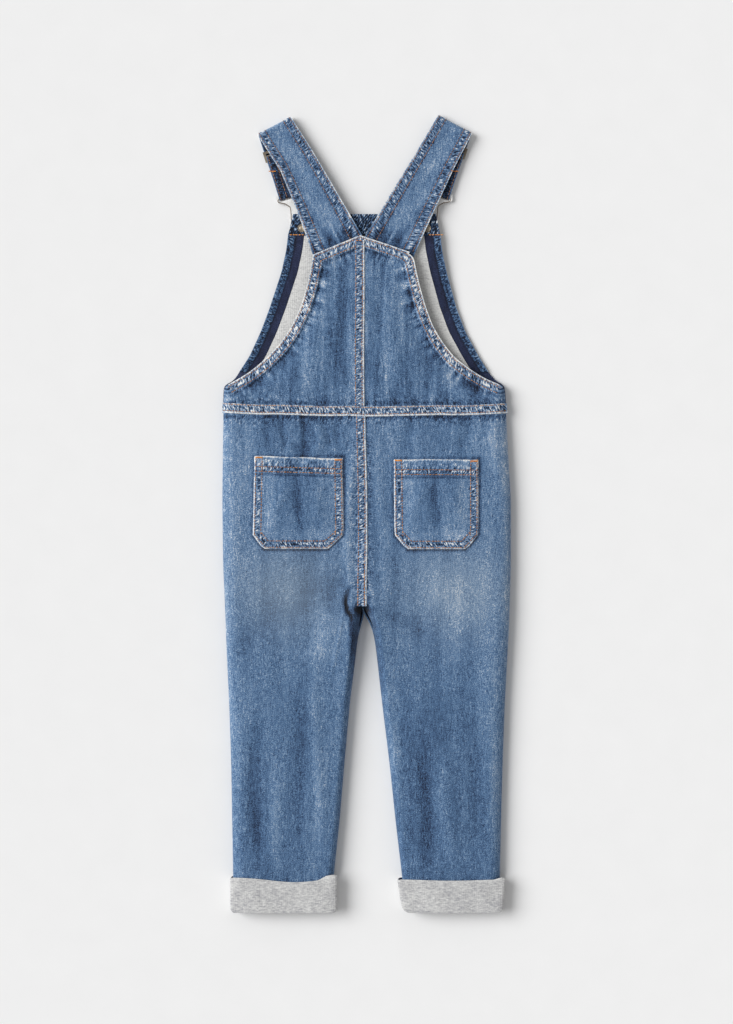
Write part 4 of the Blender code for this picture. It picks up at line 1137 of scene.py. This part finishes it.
def strapPiece(side):
    # the strap's cloth: puckered edges, gathers at its base, a rubbed fold, painted shade at its base and over its
    # lower run
    rows = strapPath(side)
    centre = rows.mean(1)
    runs = np.concatenate([[0], np.cumsum(np.linalg.norm(np.diff(centre, axis=0), axis=1))])
    fold = runs[4:17].mean()
    dense = np.unique(np.round(np.concatenate([np.arange(0, runs[-1], 1.4), runs]), 2))
    edges = [np.stack([np.interp(dense, runs, rows[:, k, i]) for i in range(3)], 1) for k in (0, 1)]
    share = np.linspace(0, 1, 30)
    grid = edges[0][:, None] + (edges[1] - edges[0])[:, None] * share[None, :, None]
    u = dense[:, None] + 0 * share
    v = straps["width"] * share + 0 * u
    if side == "right":
        grid, v = grid[:, ::-1], v[:, ::-1]
    normals = surfaceNormals(grid)
    edge = np.minimum(v, straps["width"] - v)
    pull = ropes(u, edge, 101 if side == "left" else 103, slant=0.45)
    band = bump(edge - 4.8, 4.0)
    gather = softNoise(v / 1.9, u / 16, 105) * bump(u - 8, 19)
    dents = bump(edge - straps["rows"][0], 0.6) + bump(edge - straps["rows"][1], 0.7)
    foldLine = bump(u - fold, 3.0)
    rise = 0.32 * pull * band + 0.3 * bump(edge - 3, 3.5) - 0.2 * dents + 0.22 * gather
    rise = rise + 0.5 * softNoise(u / 22, v / 16, 107) * ramp(u, 5, 20)
    centred = straps["wall"] / 2
    grid = grid + normals * (centred - 0.35 + rise)[..., None]
    middle = straps["width"] / 2
    wearAndShade = 0.12 * pull * band + rubbed(u) * bump(edge, 1.2) - 0.2 * dents + 0.05
    # the last term is painted shade where the strap dips under the bodice's top hem
    wearAndShade = wearAndShade + 0.16 * bump(v - middle, 6) + 0.4 * foldLine + 0.75 * gather - 0.36 * bump(u - 9, 9)
    # painted shade over the lower run, lying in the upper run's shadow
    wearAndShade = wearAndShade - 0.75 * ramp(u, fold + 4, fold + 12)
    wearAndShade = wearAndShade + 0.1 * softNoise(u / 14, v / 6, 108) + 0.08 * softNoise(u / 20, v / 2.2, 109)
    fields = {"wearAndShade": wearAndShade, "run": u + 400 * (v > middle), "across": edge, "band": 0.95 * bump(edge - 4.8, 3.7)}
    piece = clothWall(f"strap{side.title()}", grid, straps["wall"] - 0.5, fields, denims, sharp=80)
    declareCloth(piece, grid, [f"strap_{side}"])
    return piece, grid, dense, fold


bands = {side: strapPiece(side) for side in ("left", "right")}
print("straps folded")


stitch = {
    "length": 2.7, "pitch": 3.1, "radius": 0.4, "sides": 6,
    "lift": 0.12,  # how high its middle stands over the cloth
    "tackPitch": 0.55, "tackRadius": 0.34,
}


def capsules(points, directions, ups, length, radius):
    # one short rounded thread a point: place along it, width and how far it sinks, in shares of the radius
    half = [(1.0, 0.0, -0.7), (0.86, 0.62, -0.35), (0.45, 1.0, 0.1)]
    shape = [(-along, wide, sink) for along, wide, sink in half] + half[::-1]
    sides = stitch["sides"]
    third = np.cross(directions, ups)
    third /= np.linalg.norm(third, axis=1, keepdims=True)
    ups = np.cross(third, directions)
    vertices = []
    for along, wide, sink in shape:
        for k in range(sides):
            angle = 2 * math.pi * k / sides
            vertices.append(points + directions * (along * length / 2) + third * (wide * radius * math.cos(angle))
                            + ups * (wide * radius * math.sin(angle) + sink * radius))
    vertices = np.stack(vertices, 1)
    offsets = np.arange(len(points))[:, None, None] * len(shape) * sides
    return vertices.reshape(-1, 3), (ringFaces(len(shape), sides)[None] + offsets).reshape(-1, 4)


threads = {}


def sew(group, path, ups=None, radius=None):
    # stitches along a path of points
    path = np.asarray(path, float)
    path = path[~np.isnan(path).any(1)]
    runs = np.concatenate([[0], np.cumsum(np.linalg.norm(np.diff(path, axis=0), axis=1))])
    pitch = stitch["pitch"]
    random = np.random.RandomState(len(path) + int(abs(path[0, 0]) * 7))
    places = np.arange(pitch / 2, runs[-1] - pitch / 3, pitch)
    places = places + random.uniform(-0.12, 0.12, len(places)) * pitch

    def along(values, shift=0.0):
        return np.stack([np.interp(places + shift, runs, values[:, i]) for i in range(3)], 1)

    reach = 1.2
    directions = along(path, reach) - along(path, -reach)
    directions /= np.maximum(np.linalg.norm(directions, axis=1, keepdims=True), 1e-6)
    up = np.tile((0.0, 0.0, 1.0), (len(places), 1)) if ups is None else along(ups)
    threads.setdefault(group, []).append(capsules(
        along(path) + up * stitch["lift"], directions, up, stitch["length"], radius or stitch["radius"]))


def tack(group, centre, along, tree, size=(7.0, 2.0)):
    # a bar tack: close stitches across a short line
    centre, along = np.array(centre, float), np.array(along, float)
    along /= np.linalg.norm(along)
    across = np.array([-along[1], along[0]])
    count = int(size[0] / stitch["tackPitch"])
    spots = centre + along * (np.linspace(-0.5, 0.5, count) * size[0])[:, None]
    z = fillGaps(dropZ(tree, spots[None, :, 0], spots[None, :, 1]))[0]
    points = np.column_stack([spots, z + 0.25])
    directions = np.tile((*across, 0.0), (count, 1))
    threads.setdefault(group, []).append(
        capsules(points, directions, np.tile((0.0, 0.0, 1.0), (count, 1)), size[1], stitch["tackRadius"]))


def sewOn(group, line, tree, **options):
    # stitches along a line drawn on the cloth below it
    line = smoothLine(line, 0.8)
    z = fillGaps(dropZ(tree, line[None, :, 0], line[None, :, 1]))[0]
    sew(group, np.column_stack([line, blur(z, 1.2)]), **options)


def shifted(line, offset):
    # the line moved to its left
    line = smoothLine(line, 1.5)
    tangent = np.gradient(line, axis=0)
    tangent /= np.linalg.norm(tangent, axis=1, keepdims=True)
    return line + np.stack([-tangent[:, 1], tangent[:, 0]], 1) * offset


def fellRows(fell, ridge):
    piece, line, left = fell
    tree = treeOf(piece)
    for row in fells["rows"]:
        sewOn("backStitches", line + left * (ridge * row), tree)


for fell in (seatFell, backFell, waistFell):
    fellRows(fell, -1)
crotchEnd = seatFell[1][seatFell[1][:, 1] < crotch + 34]
for row in fells["rows"]:
    sewOn("backStitches", crotchEnd + (row, 0), treeOf(seatFell[0]), radius=0.55)
topTree = treeOf(backFell[0], backs["left"][0], backs["right"][0])
sewOn("tackStitches", [(backX - 4, bodiceTop - 3.5), (backX + 4, bodiceTop - 3.5)], topTree)
for side in ("left", "right"):
    sign = -1 if side == "left" else 1
    tree = treeOf(backs[side][0])
    outline = backs[side][1]
    outline = outline[outline[:, 1] > 526]
    for row in bodice["rows"]:
        sewOn("backStitches", shifted(blur(outline, 1.5), sign * row), tree)
    # bar tacks across the strap's end, above the slider, and the bib hem's corner
    x, h = straps["tack"][side]
    tack("tackStitches", (x, h), (1, 0), treeOf(bands[side][0]), (6.5, 1.1))
    sewOn("tackStitches", [(sign * 77.5, 678.2), (sign * 62.5, 678.2)], treeOf(bibHem, lining), radius=0.45)
    tree = treeOf(patches[side][0])
    rows = np.array(pockets[side])
    for inset in (1.7, 8.0):
        corner = 0.42 * inset
        left = [(r[1] + inset, r[0]) for r in rows[::-1] if r[0] > rows[1, 0] + 2]
        right = [(r[2] - inset, r[0]) for r in rows if r[0] > rows[1, 0] + 2]
        bottom = [(rows[2, 1] + inset, rows[2, 0] + corner), (rows[0, 1] + corner, rows[0, 0] + inset),
                  (rows[0, 2] - corner, rows[0, 0] + inset), (rows[2, 2] - inset, rows[2, 0] + corner)]
        line = np.array(left + bottom + right)
        sewOn("pocketStitches", line, tree)
    topLeft, topRight = rows[-1, 1], rows[-1, 2]
    for drop in (10.6, 15.4):
        slope = pockets["slope"][side]
        top = rows[-1, 0]
        sewOn("pocketStitches", [(topLeft + 1, top - drop - slope / 2), (topRight - 1, top - drop + slope / 2)], tree)
    for x, way in ((topLeft, 1), (topRight, -1)):
        lean = -0.5 * way * pockets["slope"][side]
        tack("tackStitches", (x + way * 4.6, rows[-1, 0] - 1.6 + lean), (1, 0), tree, (6.5, 1.7))
    piece, grid, dense, fold = bands[side]
    normals = surfaceNormals(grid)
    columns = grid.shape[1]
    rows = list(straps["rows"])
    for edgeRow in rows + [straps["width"] - row for row in rows[::-1]]:
        index = edgeRow / straps["width"] * (columns - 1)
        i, f = int(index), index - int(index)
        path = grid[:, i] * (1 - f) + grid[:, i + 1] * f
        ups = normals[:, i]
        keep = (dense > 7) & (dense < fold + 6)
        sew("strapStitches", path[keep], ups[keep])
        last = dense > dense[-1] - (dense[-1] - fold) * 0.42
        sew("strapStitches", path[last], ups[last])
for group, parts in threads.items():
    start, allPoints, allQuads = 0, [], []
    for points, quads in parts:
        allPoints.append(points)
        allQuads.append(quads + start)
        start += len(points)
    points, quads = np.concatenate(allPoints), np.concatenate(allQuads)
    thread = {"tackStitches": bartackThread, "strapStitches": fadedThread}.get(group, topstitchThread)
    piece = makeMesh(group, points, quads, {"wearAndShade": np.zeros(len(points))}, [thread], sharp=180)
    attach(piece, "root")
    print(group, len(points) // 36, "stitches")


buckle = {
    "level": 3.2,
    "bead": 0.55,
    # half the plate's outline, along the strap and out from its middle
    "outline": [(-1.8, 18.4), (-0.4, 19.8), (1.2, 19.2), (4.0, 13.5), (8.8, 9.2), (14.0, 10.0), (20.0, 11.6),
                (28.0, 12.8), (36.0, 12.0), (42.0, 7.8), (44.5, 3.0)],
}


def tube(name, path, radius, material, sides=8):
    # a round bead along a closed path
    count = len(path)
    tangent = np.roll(path, -1, 0) - np.roll(path, 1, 0)
    tangent /= np.linalg.norm(tangent, axis=1, keepdims=True)
    out = np.cross(tangent, (0, 0, 1))
    angles = np.linspace(0, 2 * math.pi, sides, endpoint=False)
    rings = path[:, None] + radius * (out[:, None] * np.cos(angles)[None, :, None]
                                      + np.array((0, 0, 1.0)) * np.sin(angles)[None, :, None])
    quads = ringFaces(count, sides, loop=True)[:, [0, 3, 2, 1]]
    return makeMesh(name, rings.reshape(-1, 3), quads, {}, [material], sharp=180)


def buckleBead(side):
    # the rolled rim round the buckle's plate, coloured dark brown-grey as painted shade along the plate's edge
    sign = 1 if side == "left" else -1
    x, h, lean, _ = straps["lower"][side]
    lean = math.radians(lean)
    down = np.array([sign * math.sin(lean), -math.cos(lean)])
    across = np.array([sign * math.cos(lean), math.sin(lean)])
    end = np.array([x, h]) + across * straps["width"] / 2
    half = buckle["outline"]
    outline = [end + down * a + across * b for a, b in half]
    outline += [end + down * a - across * b for a, b in half[::-1]]
    line = smoothLine(np.array(outline + outline[:1]), 1.0)[:-1]
    line = blur(np.concatenate([line, line, line]), 0.8)[len(line):2 * len(line)]
    path = np.column_stack([line, np.full(len(line), buckle["level"])])
    piece = tube(f"buckleRim{side.title()}", path, buckle["bead"], edgeShadeMetal)
    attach(piece, "root")


def buttonBack(side):
    # the domed back of the bib's button, with its rim
    x, h = buttonBacks[side]
    base = fillGaps(dropZ(treeOf(bibHem), np.array([[x]]), np.array([[h]])))[0, 0]
    angles = np.linspace(0, 2 * math.pi, buttonBacks["sides"], endpoint=False)
    profile = np.array(buttonBacks["profile"])
    radius, height = profile[:, :1], profile[:, 1:]
    points = np.stack([x + radius * np.cos(angles), h + radius * np.sin(angles), base + height + 0 * angles], -1)
    quads = ringFaces(len(profile), len(angles))
    piece = makeMesh(f"buttonBack{side.title()}", points.reshape(-1, 3), quads, {}, [antiqueBrass])
    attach(piece, "root")


buttonBacks = {
    "left": (-65.0, 684.8),
    "right": (60.6, 684.6),
    "sides": 28,
    # radius and height over the cloth, from the rim's foot to the middle
    "profile": [(3.9, -0.6), (4.0, 0.5), (3.6, 0.9), (3.1, 0.7), (2.6, 0.45), (2.0, 0.75), (1.2, 1.05),
                (0.05, 1.15)],
}
for side in ("left", "right"):
    buckleBead(side)
    buttonBack(side)


metals = {"buckle": nickelPlate, "bib_button": antiqueBrass, "button_tack": antiqueBrass, "slider": antiqueBrass}
for part, metal in metals.items():
    for side in ("left", "right"):
        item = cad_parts[f"{part}_{side}"]
        item.data.materials.clear()
        item.data.materials.append(metal)
print("hardware finished")


shown = {
    "view": 1.024,  # height of the view
    "lens": 100,
    "sensor": 36,
    "look": 0.00275,  # how far up the garment the lens points
    "over": 0.012,  # level of the cloth that the view's height is taken at
}
studio = {
    "sides": 0.469,
    "overhead": 0.7,
    "sideUpTo": 0.5,  # height of a direction, 0 level and 1 overhead
    "overheadFrom": 0.86,
    "key": 3.0,
    "keySpread": 42,
    "keyFrom": (-1.0, 0.28, 0.85),
    "floor": 3.0,  # half its side, in metres
    "floorLevel": -0.0003,
}


def stageScene():
    # floor, soft boxes, key light and camera
    # matt seamless paper, nearly white: roughness 0.95, hardly any gloss
    floorMaterial, tree, shader, place = newMaterial("mattPaper", Roughness=0.95, Specular_IOR_Level=0.1)
    tone = colourFrom(tree, noiseNode(tree, place, 30.0, 3.0), [(0.0, "#EDEDED"), (1.0, "#F1F1F1")])
    tree.links.new(tone, shader.inputs["Base Color"])
    mesh = bpy.data.meshes.new("floor")
    reach = studio["floor"]
    corners = [(-reach, -reach, 0), (reach, -reach, 0), (reach, reach, 0), (-reach, reach, 0)]
    mesh.from_pydata(corners, [], [(0, 1, 2, 3)])
    mesh.materials.append(floorMaterial)
    floor = bpy.data.objects.new("floor", mesh)
    bpy.context.scene.collection.objects.link(floor)
    floor.location.z = studio["floorLevel"]
    world = bpy.data.worlds.new("studio")
    world.use_nodes = True
    bpy.context.scene.world = world
    # soft boxes all round: brighter towards the sides than overhead
    tree = world.node_tree
    direction = node(tree, "ShaderNodeTexCoord").outputs["Generated"]
    height = node(tree, "ShaderNodeSeparateXYZ", links={"Vector": direction}).outputs["Z"]
    boxes = node(tree, "ShaderNodeValToRGB", links={"Fac": height})
    boxes.color_ramp.elements[0].position = studio["sideUpTo"]
    boxes.color_ramp.elements[0].color = (1, 1, 1, 1)
    boxes.color_ramp.elements[1].position = studio["overheadFrom"]
    boxes.color_ramp.elements[1].color = (*[studio["overhead"]] * 3, 1)
    background = tree.nodes["Background"]
    tree.links.new(boxes.outputs["Color"], background.inputs["Color"])
    background.inputs["Strength"].default_value = studio["sides"]
    light = bpy.data.lights.new("key", "SUN")
    light.angle = math.radians(studio["keySpread"])
    light.energy = studio["key"]
    lamp = bpy.data.objects.new("key", light)
    lamp.rotation_euler = Vector(studio["keyFrom"]).to_track_quat("Z", "Y").to_euler()
    lamp.location = Vector(studio["keyFrom"])
    bpy.context.scene.collection.objects.link(lamp)
    camera = bpy.data.cameras.new("camera")
    camera.lens = shown["lens"]
    camera.sensor_width = shown["sensor"]
    distance = shown["view"] * shown["lens"] / shown["sensor"]
    eye = bpy.data.objects.new("camera", camera)
    eye.location = (0, shown["look"], distance + shown["over"])
    bpy.context.scene.collection.objects.link(eye)
    bpy.context.scene.camera = eye


stageScene()
bpy.context.scene.view_settings.view_transform = "Standard"
